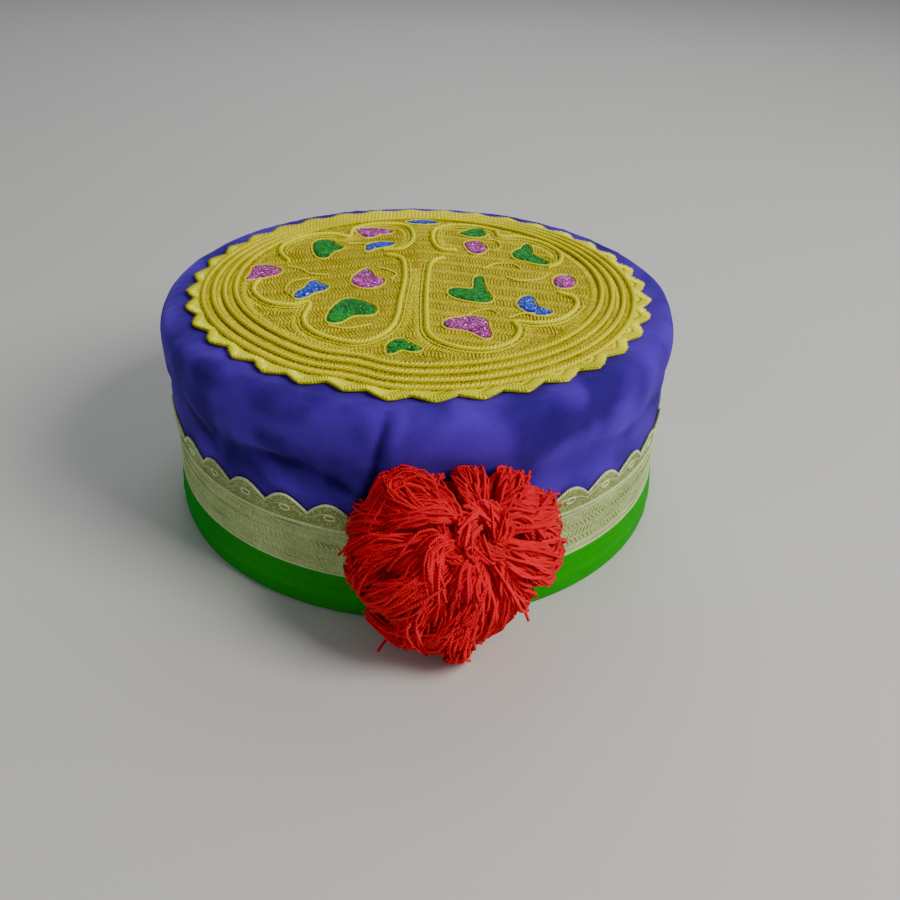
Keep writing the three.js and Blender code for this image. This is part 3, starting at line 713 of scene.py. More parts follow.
def velvet_material():
    """Velvet that is lighter where its pile is brushed one way, with painted shade darker down in its folds
    and painted light on its swellings.
    """
    material, tree, shader = new_material(
        "velvet", Roughness=0.9, Sheen_Weight=0.5, Sheen_Roughness=0.35,
        Sheen_Tint=(0.3, 0.2, 1.0, 1.0), Specular_IOR_Level=0.08)
    nap = filled(tree, NAP, {"Patch Size": 22.0, "Fibre Size": 0.4})
    # Painted shade and light: the fold attribute darkens the velvet where it lies deep in a fold and
    # lightens it where it swells
    fold = add(tree, "ShaderNodeAttribute", attribute_name="fold").outputs["Fac"]
    brushed = maths(tree, "MULTIPLY_ADD", maths(tree, "SUBTRACT", nap.outputs["Patches"], 0.5), 0.62, 0.31)
    nap_and_fold_shade = maths(tree, "MULTIPLY_ADD", fold, -0.45, brushed)
    lit = add(tree, "ShaderNodeMapRange", {"Value": nap_and_fold_shade, "From Min": -0.25, "From Max": 1.0}).outputs[0]
    grain = maths(tree, "MULTIPLY_ADD", maths(tree, "SUBTRACT", nap.outputs["Fibres"], 0.5), 0.35, lit)
    deep = mixed(tree, grain, srgb(24, 2, 90), srgb(92, 48, 200))
    colour(tree, shader, deep, size=50.0, strength=0.2)
    bump(tree, shader, nap.outputs["Fibres"], distance=0.25, strength=0.6)
    return material


def lining_material():
    material, tree, shader = new_material("lining", Roughness=0.8, Sheen_Weight=0.2)
    round_, up = pattern_axes(tree)[:2]
    warp = filled(tree, THREAD, {"Across": round_, "Pitch": 0.5})
    weft = filled(tree, THREAD, {"Across": up, "Pitch": 0.5})
    weave = maths(tree, "MAXIMUM", warp.outputs["Height"], weft.outputs["Height"])
    base = mixed(tree, warp.outputs["Shade"], srgb(30, 28, 60), srgb(42, 40, 78))
    colour(tree, shader, base, size=30.0, strength=0.2)
    bump(tree, shader, weave, distance=0.12)
    return material


def satin_material():
    material, tree, shader = new_material(
        "green_satin", Roughness=0.55, Anisotropic=0.4, Specular_IOR_Level=0.1)
    round_, up = pattern_axes(tree)[:2]
    warp = filled(tree, THREAD, {"Across": up, "Pitch": 0.28, "Wander": 0.1})
    weft = filled(tree, THREAD, {"Across": round_, "Pitch": 0.45, "Wander": 0.1})
    base = mixed(tree, warp.outputs["Shade"], srgb(0, 140, 0), srgb(0, 168, 0))
    colour(tree, shader, base, size=26.0, strength=0.22)
    height = maths(tree, "MULTIPLY_ADD", weft.outputs["Height"], 0.4, warp.outputs["Height"])
    bump(tree, shader, height, distance=0.05, strength=0.7)
    return material


def lace_material(name, dark, light, roughness):
    """Slanting metallic thread in rows, smoother where a flake of it glints and lighter there as a painted
    glint.
    """
    material, tree, shader = new_material(name, Metallic=0.1, Sheen_Weight=0.1, Specular_IOR_Level=0.3)
    round_, up = pattern_axes(tree)[:2]
    twill = maths(tree, "MULTIPLY_ADD", up, 0.8, round_)
    threads = filled(tree, THREAD, {"Across": twill, "Pitch": 0.7, "Wander": 0.5})
    rows = filled(tree, THREAD, {"Across": up, "Pitch": 1.1, "Wander": 0.2})
    glint = filled(tree, GLITTER, {"Flake Size": 0.5, "Amount": 0.2})
    tone = maths(tree, "MULTIPLY", threads.outputs["Height"], rows.outputs["Height"])
    tone = maths(tree, "MULTIPLY_ADD", threads.outputs["Shade"], 0.35, tone)
    base = mixed(tree, tone, dark, light)
    # Painted glint: where a flake glints, the colour is lightened towards a pale gold
    base = mixed(tree, maths(tree, "MULTIPLY", glint.outputs["Flakes"], 0.5), base, srgb(236, 240, 170))
    colour(tree, shader, base, size=18.0, strength=0.35)
    rough(tree, shader, glint.outputs["Flakes"], change=-0.18, plain=roughness)
    bump(tree, shader, tone, distance=0.16)
    return material


def gold_ground_material():
    """The applique's ground: short slanting stitches of laid gold thread in rows that lean to and fro."""
    material, tree, shader = new_material("gold_ground", Metallic=0.1, Specular_IOR_Level=0.15)
    place = object_place(tree)
    axes = add(tree, "ShaderNodeSeparateXYZ", {"Vector": place}).outputs
    wide = maths(tree, "MULTIPLY", axes["X"], 1 / MM)
    deep = maths(tree, "MULTIPLY", axes["Y"], 1 / MM)
    zigzag = maths(tree, "PINGPONG", wide, 2.4)
    threads = filled(tree, THREAD, {
        "Across": maths(tree, "MULTIPLY_ADD", zigzag, 0.9, deep), "Pitch": 1.05, "Wander": 1.0})
    pits = add(tree, "ShaderNodeTexNoise", {"Vector": place, "Scale": 800.0, "Detail": 3.0})
    tone = maths(tree, "MULTIPLY", threads.outputs["Height"], pits.outputs["Fac"])
    tone = add(tree, "ShaderNodeMapRange", {"Value": tone, "From Min": 0.08, "From Max": 0.46}).outputs[0]
    base = mixed(tree, tone, srgb(108, 92, 0), srgb(216, 198, 0))
    colour(tree, shader, base, size=16.0, strength=0.35)
    rough(tree, shader, tone, change=-0.15, plain=0.6)
    bump(tree, shader, tone, distance=0.45)
    return material


def gold_thread_material(name, dark, light):
    material, tree, shader = new_material(name, Metallic=0.2, Specular_IOR_Level=0.15)
    place = object_place(tree)
    strand = add(tree, "ShaderNodeTexNoise", {"Vector": place, "Scale": 1300.0, "Detail": 2.0})
    glint = filled(tree, GLITTER, {"Flake Size": 0.5, "Amount": 0.3})
    base = mixed(tree, strand.outputs["Fac"], dark, light)
    # Painted glint: where a flake glints, the colour is lightened towards a bright yellow
    base = mixed(tree, maths(tree, "MULTIPLY", glint.outputs["Flakes"], 0.4), base, srgb(255, 246, 60))
    colour(tree, shader, base, size=22.0, strength=0.25)
    rough(tree, shader, glint.outputs["Flakes"], change=-0.15, plain=0.45)
    bump(tree, shader, strand.outputs["Fac"], distance=0.12)
    return material


def petal_material(name, dark, light, spark):
    """Glittering cloth, some of whose flakes show the spark's colour as a painted sparkle."""
    material, tree, shader = new_material(name, Metallic=0.1, Specular_IOR_Level=0.2)
    glint = filled(tree, GLITTER, {"Flake Size": 0.55, "Amount": 0.28})
    fine = filled(tree, NAP, {"Patch Size": 3.0, "Fibre Size": 0.3})
    base = mixed(tree, fine.outputs["Patches"], dark, light)
    # Painted sparkle: flakes take a colour between the light one and the brighter spark
    base = mixed(tree, glint.outputs["Flakes"], base, mixed(tree, glint.outputs["Shade"], light, spark))
    colour(tree, shader, base, size=6.0, strength=0.3)
    rough(tree, shader, glint.outputs["Flakes"], change=-0.25, plain=0.5)
    bump(tree, shader, maths(tree, "ADD", fine.outputs["Fibres"], glint.outputs["Shade"]), distance=0.2)
    return material


def flake_material(name, tint, spark):
    """Loose metallic flakes, each of its own shade between two colours."""
    material, tree, shader = new_material(name, Metallic=0.9, Roughness=0.18)
    glint = filled(tree, GLITTER, {"Flake Size": 0.8, "Amount": 0.5})
    colour(tree, shader, mixed(tree, glint.outputs["Shade"], tint, spark), size=5.0, strength=0.2)
    return material


def wool_material():
    material, tree, shader = new_material(
        "wool", Roughness=0.85, Sheen_Weight=0.6, Sheen_Roughness=0.45,
        Sheen_Tint=(1.0, 0.1, 0.08, 1.0), Specular_IOR_Level=0.1)
    # The shade attribute mixes each strand's own tone with painted shade deep in the ball and painted light
    # at the strands' ends
    shade = add(tree, "ShaderNodeAttribute", attribute_name="shade").outputs["Fac"]
    base = mixed(tree, shade, srgb(228, 0, 24), srgb(255, 14, 48))
    colour(tree, shader, base, size=8.0, strength=0.25)
    round_, up = pattern_axes(tree)[:2]
    twist = filled(tree, THREAD, {
        "Across": maths(tree, "MULTIPLY_ADD", round_, 1.2, up), "Pitch": 0.6, "Wander": 0.2})
    bump(tree, shader, twist.outputs["Height"], distance=0.18)
    return material


def floor_material():
    material, tree, shader = new_material("pale_floor", Roughness=0.6)
    colour(tree, shader, srgb(206, 203, 198), size=400.0, strength=0.04)
    return material


VELVET = velvet_material()
LINING = lining_material()
SATIN = satin_material()
LACE = lace_material("lace", srgb(120, 136, 62), srgb(206, 228, 146), 0.55)
LACE_WEB = lace_material("lace_web", srgb(90, 100, 30), srgb(168, 186, 92), 0.6)
LACE_THREAD = lace_material("lace_thread", srgb(186, 204, 124), srgb(236, 250, 196), 0.45)
GOLD_GROUND = gold_ground_material()
GOLD_FIELD = gold_thread_material("gold_field", srgb(188, 170, 0), srgb(228, 210, 0))
GOLD_STITCH = gold_thread_material("gold_stitch", srgb(208, 192, 0), srgb(244, 232, 8))
GOLD_BRIGHT = gold_thread_material("gold_bright", srgb(220, 216, 0), srgb(246, 244, 16))
GOLD_CORD = gold_thread_material("gold_cord", srgb(206, 194, 0), srgb(240, 228, 12))
GOLD_PALE = gold_thread_material("gold_pale", srgb(222, 212, 30), srgb(246, 238, 70))
# The third colour of each petal is its painted sparkle
GREEN_PETAL = petal_material("petal_green", srgb(0, 80, 8), srgb(0, 134, 24), srgb(0, 190, 50))
PINK_PETAL = petal_material("petal_pink", srgb(120, 0, 100), srgb(176, 8, 150), srgb(255, 150, 235))
BLUE_PETAL = petal_material("petal_blue", srgb(0, 26, 150), srgb(16, 60, 210), srgb(110, 160, 255))
WOOL = wool_material()


# Geometry Nodes

def real_copies(tree, given, put, copies, smooth=None):
    """Ends a tree: its copies become real, are shaded smooth or flat where asked, and get their material."""
    made = add(tree, "GeometryNodeRealizeInstances", {"Geometry": copies.outputs[0]}).outputs[0]
    if smooth is not None:
        made = add(tree, "GeometryNodeSetShadeSmooth", {"Geometry": made, "Shade Smooth": smooth}).outputs[0]
    dressed = add(tree, "GeometryNodeSetMaterial", {"Geometry": made, "Material": given["Material"]})
    tree.links.new(dressed.outputs[0], put.inputs["Geometry"])


def stitch_tree():
    """Stitches laid across a path: each is a thin rounded bar, turned from the path by Slant."""
    tree, given, put = new_group(
        "stitches_along_path", "GeometryNodeTree",
        [("Geometry", "Geometry", None), ("Spacing", "Float", 0.001), ("Length", "Float", 0.004),
         ("Width", "Float", 0.0006), ("Height", "Float", 0.0006), ("Slant", "Float", 1.57),
         ("On Wall", "Bool", False), ("Jitter", "Float", 0.1), ("Sides", "Int", 6),
         ("Material", "Material", None)],
        [("Geometry", "Geometry")])
    path = add(tree, "GeometryNodeMeshToCurve", {"Mesh": given["Geometry"]}).outputs[0]
    even = add(tree, "GeometryNodeResampleCurve", {"Curve": path, "Length": given["Spacing"]}, mode="LENGTH")
    tangent = add(tree, "GeometryNodeInputTangent").outputs[0]
    level = add(tree, "ShaderNodeVectorMath", {0: tangent, 1: (0.0, 0.0, 1.0)}, operation="CROSS_PRODUCT")
    side = add(tree, "GeometryNodeSwitch", {
        "Switch": given["On Wall"], "False": level.outputs[0], "True": (0.0, 0.0, 1.0)}, input_type="VECTOR")
    jitter = add(tree, "FunctionNodeRandomValue", {2: -1.0, 3: 1.0, "Seed": 4}, data_type="FLOAT")
    swing = maths(tree, "MULTIPLY", jitter.outputs[1], given["Jitter"])
    slant = maths(tree, "ADD", given["Slant"], swing)
    ahead = scaled(tree, tangent, maths(tree, "COSINE", slant))
    across = scaled(tree, side.outputs[0], maths(tree, "SINE", slant))
    way = add(tree, "ShaderNodeVectorMath", {0: ahead, 1: across}, operation="ADD")
    turn = add(tree, "FunctionNodeAlignRotationToVector", {"Vector": way.outputs[0]}, axis="X")
    bar = add(tree, "GeometryNodeMeshUVSphere", {"Segments": given["Sides"], "Rings": 3, "Radius": 0.5})
    longer = maths(tree, "MULTIPLY_ADD", swing, 0.8, 1.0)
    size = add(tree, "ShaderNodeCombineXYZ", {
        "X": maths(tree, "MULTIPLY", given["Length"], longer), "Y": given["Width"], "Z": given["Height"]})
    laid = add(tree, "GeometryNodeInstanceOnPoints", {
        "Points": even.outputs[0], "Instance": bar.outputs[0],
        "Rotation": turn.outputs[0], "Scale": size.outputs[0]})
    real_copies(tree, given, put, laid, smooth=True)
    return tree


def flake_tree():
    """Loose glitter: thin eight-sided flakes scattered on a surface at odd tilts."""
    tree, given, put = new_group(
        "scattered_flakes", "GeometryNodeTree",
        [("Geometry", "Geometry", None), ("Density", "Float", 200000.0), ("Size", "Float", 0.0007),
         ("Thickness", "Float", 0.0002), ("Tilt", "Float", 0.6), ("Seed", "Int", 3),
         ("Material", "Material", None)],
        [("Geometry", "Geometry")])
    spread = add(tree, "GeometryNodeDistributePointsOnFaces", {
        "Mesh": given["Geometry"], "Density": given["Density"], "Seed": given["Seed"]})
    tilt = add(tree, "FunctionNodeRandomValue", {"Seed": 11}, data_type="FLOAT_VECTOR")
    tilt.inputs[0].default_value = (-1.0, -1.0, -3.0)
    tilt.inputs[1].default_value = (1.0, 1.0, 3.0)
    lean = scaled(tree, tilt.outputs[0], given["Tilt"])
    turn = add(tree, "FunctionNodeRotateRotation", {
        "Rotation": spread.outputs["Rotation"], "Rotate By": lean}, rotation_space="LOCAL")
    flake = add(tree, "GeometryNodeMeshUVSphere", {"Segments": 4, "Rings": 2, "Radius": 0.5})
    size = add(tree, "ShaderNodeCombineXYZ", {
        "X": given["Size"], "Y": given["Size"], "Z": given["Thickness"]})
    laid = add(tree, "GeometryNodeInstanceOnPoints", {
        "Points": spread.outputs["Points"], "Instance": flake.outputs[0],
        "Rotation": turn.outputs[0], "Scale": size.outputs[0]})
    real_copies(tree, given, put, laid, smooth=False)
    return tree


def repeat_tree():
    """Copies of a motif turned round the hat's axis."""
    tree, given, put = new_group(
        "repeat_round_axis", "GeometryNodeTree",
        [("Geometry", "Geometry", None), ("Count", "Int", 36), ("Axis", "Vector", (0.0, 0.0, 0.0)),
         ("Material", "Material", None)],
        [("Geometry", "Geometry")])
    centred = add(tree, "GeometryNodeTransform", {
        "Geometry": given["Geometry"], "Translation": scaled(tree, given["Axis"], -1.0)})
    points = add(tree, "GeometryNodePoints", {"Count": given["Count"], "Position": given["Axis"]})
    index = add(tree, "GeometryNodeInputIndex").outputs[0]
    angle = maths(tree, "DIVIDE", maths(tree, "MULTIPLY", index, 2 * math.pi), given["Count"])
    turn = add(tree, "ShaderNodeCombineXYZ", {"Z": angle})
    laid = add(tree, "GeometryNodeInstanceOnPoints", {
        "Points": points.outputs[0], "Instance": centred.outputs[0], "Rotation": turn.outputs[0]})
    real_copies(tree, given, put, laid)
    return tree


STITCHES = stitch_tree()
FLAKES = flake_tree()
REPEAT = repeat_tree()


def grow(piece, tree, **values):
    """Runs a Geometry Nodes tree on a piece and keeps the result as its plain mesh."""
    modifier = piece.modifiers.new("grow", "NODES")
    modifier.node_group = tree
    for item in tree.interface.items_tree:
        key = item.name.replace(" ", "_")
        if item.in_out == "INPUT" and key in values:
            modifier[item.identifier] = values[key]
    depsgraph = bpy.context.evaluated_depsgraph_get()
    mesh = bpy.data.meshes.new_from_object(piece.evaluated_get(depsgraph), depsgraph=depsgraph)
    piece.modifiers.remove(modifier)
    piece.data = mesh
    return piece


def path_piece(name, path, closed):
    """A path as an object of bare edges, for a tree to follow."""
    mesh = bpy.data.meshes.new(name)
    count = len(path)
    edges = [(i, (i + 1) % count) for i in range(count if closed else count - 1)]
    mesh.from_pydata((path * MM).tolist(), edges, [])
    piece = bpy.data.objects.new(name, mesh)
    bpy.context.scene.collection.objects.link(piece)
    return piece


def stitched(name, path, closed, stitch, slant, material, on_wall=False):
    """Stitches laid across a path, turned from it by a slant in degrees."""
    lengths = {key: stitch[key] * MM for key in ("Spacing", "Length", "Width", "Height")}
    return grow(path_piece(name, path, closed), STITCHES, Slant=math.radians(slant), On_Wall=on_wall,
                Jitter=stitch["Jitter"], Material=material, **lengths)


def second_finish(piece, *spans):
    """Gives the faces in some spans a piece's second material, and the others its first."""
    finish = np.zeros(len(piece.data.polygons), int)
    for span in spans:
        finish[span] = 1
    piece.data.polygons.foreach_set("material_index", finish)


def dress(piece, slot, *materials, nodes=()):
    """Gives a finished piece its materials and its place in the frame, and hides the solids that it stands
    for.
    """
    if materials:
        piece.data.materials.clear()
        for material in materials:
            piece.data.materials.append(material)
    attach(piece, "root")
    if nodes:
        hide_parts(*nodes)
    return piece


def join(name, pieces):
    """Joins objects that share one finish into the first of them."""
    with bpy.context.temp_override(active_object=pieces[0], selected_editable_objects=pieces):
        bpy.ops.object.join()
    pieces[0].name = name
    pieces[0].data.name = name
    return pieces[0]


# Velvet crown

def crease_depth(azimuth, height):
    """The furrows of the velvet, in millimetres."""
    total = 0.0
    for crease in CREASES:
        (start, low), (end, high) = crease["from"], crease["to"]
        share = np.clip(apart(azimuth, start) / (end - start), -0.5, 1.5)
        line = low + (high - low) * share - 4 * crease["sag"] * share * (1 - share)
        away = height - line * SIDE_TOP
        ends = smoothstep(share, -0.15, 0.3) * (1 - smoothstep(share, 0.7, 1.15))
        total = total + crease["depth"] * ends * (
            bell(away, crease["wide"]) - 0.55 * bell(away - 1.9 * crease["wide"], crease["wide"] * 1.3))
    return total


def velvet_depth(azimuth, height):
    """How far the velvet lies inside its plain outline: folds, creases, seam and puckers."""
    up = height / SIDE_TOP
    free = smoothstep(height, BRAID_TIP - 4, SIDE_TOP * 0.62)
    below = 1 - smoothstep(up, 0.88, 0.97)
    total = 0.0
    for fold in SOFT_FOLDS:
        beside = bell(apart(azimuth, fold["azimuth"]), fold["spread"])
        total = total + fold["depth"] * ROLL_BULGE * beside * bell(up - fold["up"], fold["tall"])
    total = total * below + crease_depth(azimuth, height) * (1 - smoothstep(up, 0.9, 0.99))
    seam = SEAM["azimuth"] + SEAM["lean"] * (1 - up)
    away = apart(azimuth, seam)
    total = total + SEAM["depth"] * bell(away, SEAM["wide"]) * (1 - 0.6 * smoothstep(up, 0.97, 1.0))
    total = total - 0.5 * bell(np.abs(away) - 2.6, 1.6)
    total = total + 0.22 * ripple(azimuth, up, (5, 19), 7) + 0.12 * ripple(azimuth, up * 1.6, (20, 46), 8)
    total = total * free
    return np.where(total > 0, DEEPEST * np.tanh(total / DEEPEST), total)


def velvet_puckers(azimuth, radius, height):
    """How far the velvet sinks where it is gathered over the crown's edge."""
    over = smoothstep(WALL_OUTSIDE + 3 - radius, 0.0, 3.5) * (height > 0.9 * SIDE_TOP)
    inward = (WALL_OUTSIDE - radius) / 12
    broad = np.abs(ripple(azimuth, inward, (9, 26), 12))
    gathers = broad + 0.6 * np.abs(ripple(azimuth, inward, (26, 60), 13))
    seam = 0.8 * bell(apart(azimuth, SEAM["azimuth"]), SEAM["wide"])
    return over * DEEPEST_PUCKER * np.tanh((0.42 * gathers + seam) / DEEPEST_PUCKER)


def velvet_side():
    """The wall: velvet outside and over the roll to its hem, and the lining up its inside."""
    outline = spline([(row["out"] * ROLL_BULGE, row["up"] * SIDE_TOP) for row in SIDE_OUTLINE], VELVET_ROWS)
    azimuth = around(VELVET_COLUMNS)
    out = outline[:, :1]
    height = rings(outline[:, 1], azimuth)
    before_hem = out > -1.0
    depth = velvet_depth(azimuth[None], height) * before_hem
    radius = WALL_OUTSIDE + out - depth
    height = height - velvet_puckers(azimuth[None], WALL_OUTSIDE + out, height)
    inner_height = rings(np.linspace(SIDE_TOP, outline[0, 1], LINING_ROWS), azimuth)
    upright = outline[:UPRIGHT_ROWS]
    swell = np.interp(inner_height, upright[:, 1], upright[:, 0]).clip(0, LINING_SWELL)
    radius = np.vstack([radius, np.full((1, VELVET_COLUMNS), HEM_RADIUS - 0.2), WALL_OUTSIDE + swell - WALL])
    height = np.vstack([height, np.full((1, VELVET_COLUMNS), VELVET_TOP - 0.3), inner_height])
    piece = ring_piece("velvet_side", azimuth, radius, height, 2 * math.pi * WALL_OUTSIDE)
    # The folds' depth, from which the velvet material paints shade in the dents and light on the swellings
    fold = np.zeros((len(radius), VELVET_COLUMNS))
    fold[:VELVET_ROWS] = depth / DEEPEST
    add_attribute(piece, "fold", fold.reshape(-1))
    dress(piece, "velvet", VELVET, LINING, nodes=["crown_side"])
    second_finish(piece, slice(VELVET_ROWS * VELVET_COLUMNS, None))


def velvet_top():
    """The crown's flat top, under the applique and over the lining."""
    columns = 240
    azimuth = around(columns)
    edge = WALL_OUTSIDE - WALL - 0.1
    low = TOP_LOW[2] + 0.05
    high = VELVET_TOP - 0.5
    profile = np.array([
        (2.0, low), (edge * 0.5, low), (edge - 0.6, low), (edge, low + 0.5), (edge - 0.6, high),
        (edge * 0.5, high), (2.0, high)])
    radius = rings(profile[:, 0], azimuth)
    height = rings(profile[:, 1], azimuth)
    piece = disc_piece("velvet_top", azimuth, radius, height, AXIS_Y, 2 * math.pi * edge)
    dress(piece, "velvet", VELVET, LINING, nodes=["crown_top"])
    caps = (len(profile) - 1) * columns
    second_finish(piece, slice(2 * columns), slice(caps, None, 2))


# Green binding

def green_binding():
    """One padded strip of satin folded round the lower edge, flat where it meets the table."""
    columns = 480
    azimuth = around(columns)
    foot = BINDING_RADIUS
    inside = WALL_OUTSIDE - WALL
    outline = spline([
        (foot - 3.4, 0.0), (foot - 1.35, 0.0), (foot - 0.45, 0.5), (foot + 0.12, 1.9), (foot + 0.45, 5.0),
        (foot + 0.3, 9.0), (foot - 0.3, 13.0), (foot - 0.85, 15.6), (foot - 1.2, BINDING_TOP + 0.2)], 34)
    back = np.array([(foot - 2.0, BINDING_TOP + 0.1), (WALL_OUTSIDE + 0.25, BINDING_TOP - 1.5),
                     (WALL_OUTSIDE + 1.2, 3.4), (WALL_OUTSIDE + 1.1, 1.4), (inside + 0.6, 1.4),
                     (inside + 0.7, 3.4), (inside - 0.25, 8.9), (inside - 0.9, 9.1), (inside - 1.3, 8.7),
                     (inside - 0.6, 3.0), (inside - 0.3, 1.3), (foot - 3.9, 0.5)])
    profile = np.vstack([outline, back]).clip(0)
    radius = rings(profile[:, 0], azimuth)
    height = rings(profile[:, 1], azimuth)
    puff = smoothstep(height, 1.2, 4.0) * (1 - smoothstep(height, 12.5, 15.5)) * (radius > foot - 1.0)
    radius = radius + puff * (0.22 * ripple(azimuth, height / 20, (9, 40), 21)
                              + 0.1 * ripple(azimuth, height / 9, (44, 110), 22))
    piece = ring_piece("green_binding", azimuth, radius, height, 2 * math.pi * foot)
    dress(piece, "green_satin", SATIN, nodes=["base_band"])


# Lace braid

def scallop(azimuth, count, turn):
    return np.abs(np.sin(np.radians((azimuth - turn) * count) / 2))


def wall_radius(height):
    """The velvet's plain outline at a height."""
    table = np.array([(row["up"] * SIDE_TOP, row["out"] * ROLL_BULGE) for row in SIDE_OUTLINE[:RISING_ROWS]])
    return WALL_OUTSIDE + np.interp(height, table[:, 0], table[:, 1])


def braid_edge(azimuth, inset=0.0):
    """Height of the braid's scalloped edge."""
    rise = (BRAID_SCALLOP + 0.4) * (0.46 + 0.54 * scallop(azimuth, BRAID_SCALLOPS, BRAID_TURN))
    return BRAID_LINE + rise - inset


def lace_band():
    """The braid's cloth: a ribbed straight band under arched scallops."""
    columns = BRAID_SCALLOPS * 20
    azimuth = around(columns)
    straight = rings(np.linspace(BRAID_FOOT - 0.5, BRAID_LINE, 26), azimuth)
    arched = BRAID_LINE + np.linspace(0.08, 1, 12)[:, None] * (braid_edge(azimuth) - BRAID_LINE)
    height = np.vstack([straight, arched])
    share = (height - BRAID_FOOT) / (BRAID_LINE - BRAID_FOOT)
    relief = 0.1 * np.sin(share * 2 * math.pi * 4.5) * (height < BRAID_LINE - 0.5)
    relief = relief + 0.05 * np.sin(np.radians(azimuth) * BRAID_SCALLOPS * 5)
    relief = relief + 0.12 * ripple(azimuth, share, (8, 40), 31)
    radius = wall_radius(height) + GAP + BRAID_CLOTH + relief
    inner_height = height[::-6]
    radius = np.vstack([radius, wall_radius(inner_height) + 0.5 * GAP])
    height = np.vstack([height, inner_height])
    piece = ring_piece("lace_band", azimuth, radius, height, 2 * math.pi * WALL_OUTSIDE)
    dress(piece, "lace", LACE, LACE_WEB, nodes=["braid_band"])
    first = len(straight) * columns
    second_finish(piece, slice(first, first + len(arched) * columns))


def wall_path(azimuth, height, out):
    return round_points(azimuth, wall_radius(height) + GAP + BRAID_CLOTH + out, height)


def wall_cord(azimuth, height, out, radius, pitch, sides=3):
    """A twisted cord that runs round the braid."""
    path = wall_path(azimuth, height, out)
    upward = np.tile([0.0, 0.0, 1.0], (len(path), 1))
    return twisted(path, radius, pitch, True, upward, sides, steps_per_turn=4)


def lace_cords():
    """The ridge cord, the arch threads of the scallops and the selvedges."""
    fine = around(BRAID_SCALLOPS * 24)
    ridge = wall_cord(fine, BRAID_LINE, out=0.35, radius=0.55, pitch=2.2, sides=4)
    dress(new_piece("lace_ridge", *ridge), "lace", LACE_THREAD, nodes=["braid_cord"])
    edge = braid_edge(fine)
    inner_arch = BRAID_LINE + 0.62 * (edge - BRAID_LINE)
    cords = [wall_cord(fine, edge, out=-0.2, radius=0.62, pitch=2.0, sides=4),
             wall_cord(fine, inner_arch, out=0.05, radius=0.3, pitch=1.8),
             wall_cord(fine, BRAID_FOOT - 0.1, out=0.1, radius=0.5, pitch=2.0, sides=4),
             wall_cord(fine, BRAID_FOOT + 2.2, out=0.05, radius=0.3, pitch=1.8),
             wall_cord(fine, BRAID_LINE - 2.0, out=0.05, radius=0.3, pitch=1.8)]
    dress(new_piece("lace_edges", *joined(cords)), "lace", LACE_THREAD)


def lace_bars():
    """Slanting bars woven between the braid's rows."""
    rows = []
    for number, share in enumerate(BAR_ROWS):
        path = wall_path(around(720), BRAID_FOOT + share * (BRAID_LINE - BRAID_FOOT), 0.2)
        slant = 52 if number % 2 else -52
        rows.append(stitched("bar_row", path, True, BAR_STITCH, slant, LACE_THREAD, on_wall=True))
    dress(join("lace_bars", rows), "lace")


def lace_eyes():
    """A small ring in the middle of each scallop."""
    pitch = 360.0 / BRAID_SCALLOPS
    middle = BRAID_TURN + pitch / 2
    turn = np.arange(14) * 2 * math.pi / 14
    azimuth = middle + EYE_RADIUS * np.cos(turn)
    height = BRAID_LINE + EYE_HEIGHT + EYE_RADIUS * np.sin(turn)
    ring = tubes([wall_path(azimuth, height, 0.15)], EYE_THREAD, 5, True, up=(0.02, -1.0, 0.01))
    piece = new_piece("lace_eyes", *ring)
    grow(piece, REPEAT, Count=BRAID_SCALLOPS, Axis=(AXIS_X * MM, AXIS_Y * MM, 0.0), Material=LACE_THREAD)
    dress(piece, "lace")


# Gold embroidery

def applique_pull(azimuth):
    return sum(pull["depth"] * APPLIQUE_SCALLOP * bell(apart(azimuth, pull["azimuth"]), pull["spread"])
               for pull in APPLIQUE_PULLS)


def applique_edge(azimuth, inset=0.0):
    wave = scallop(azimuth, APPLIQUE_SCALLOPS, APPLIQUE_TURN)
    pointed = 1 - np.sqrt(np.clip(1 - wave ** 2, 0, 1))
    rise = APPLIQUE_SCALLOP * (0.4 * wave ** 0.85 + 0.25 * wave ** 2 + 0.35 * pointed)
    return APPLIQUE_RADIUS + rise - applique_pull(azimuth) - inset


def applique_points(azimuth, radius, height):
    """Points about the applique's own middle."""
    points = round_points(azimuth, radius, height)
    points[..., 1] -= APPLIQUE_FORWARD
    return points


def flat_point(x, y, height):
    return np.array([AXIS_X + x * APPLIQUE_RADIUS, AXIS_Y + y * APPLIQUE_RADIUS, height])


def gold_ground():
    """The applique's cloth: a stitched ground that swells between its cords."""
    columns = APPLIQUE_SCALLOPS * 14
    azimuth = around(columns)
    field = np.linspace(0.08, 0.78, 22)
    border = np.linspace(0.8, 0.985, 26)
    shares = np.concatenate([[0.03], field, border, [0.996, 1.0]])[:, None]
    edge = applique_edge(azimuth)
    radius = shares * edge
    rise = 0.35 * (1 - shares ** 30) + 0.1 * ripple(azimuth, shares * 3, (3, 22), 41) * (shares < 0.97)
    height = CLOTH_TOP + rise
    low = APPLIQUE_LOW[2] - 0.2
    under = np.array([0.03, 0.5, 0.98, 0.997])[:, None] * edge
    radius = np.vstack([under, radius[::-1]])
    height = np.vstack([rings([low, low, low, low + 0.2], azimuth), height[::-1]])
    girth = 2 * math.pi * APPLIQUE_RADIUS
    piece = disc_piece("gold_ground", azimuth, radius, height, APPLIQUE_CENTRE_Y, girth)
    dress(piece, "gold_embroidery", GOLD_GROUND, GOLD_BRIGHT, nodes=["top_applique"])
    second_finish(piece, slice(3 * columns, 12 * columns))


def border_path(row, count=360):
    azimuth = around(count)
    path = applique_points(azimuth, row["radius"] * APPLIQUE_RADIUS - applique_pull(azimuth), CORD_HEIGHT)
    path[:, 1] += row["back"] * APPLIQUE_RADIUS
    return path


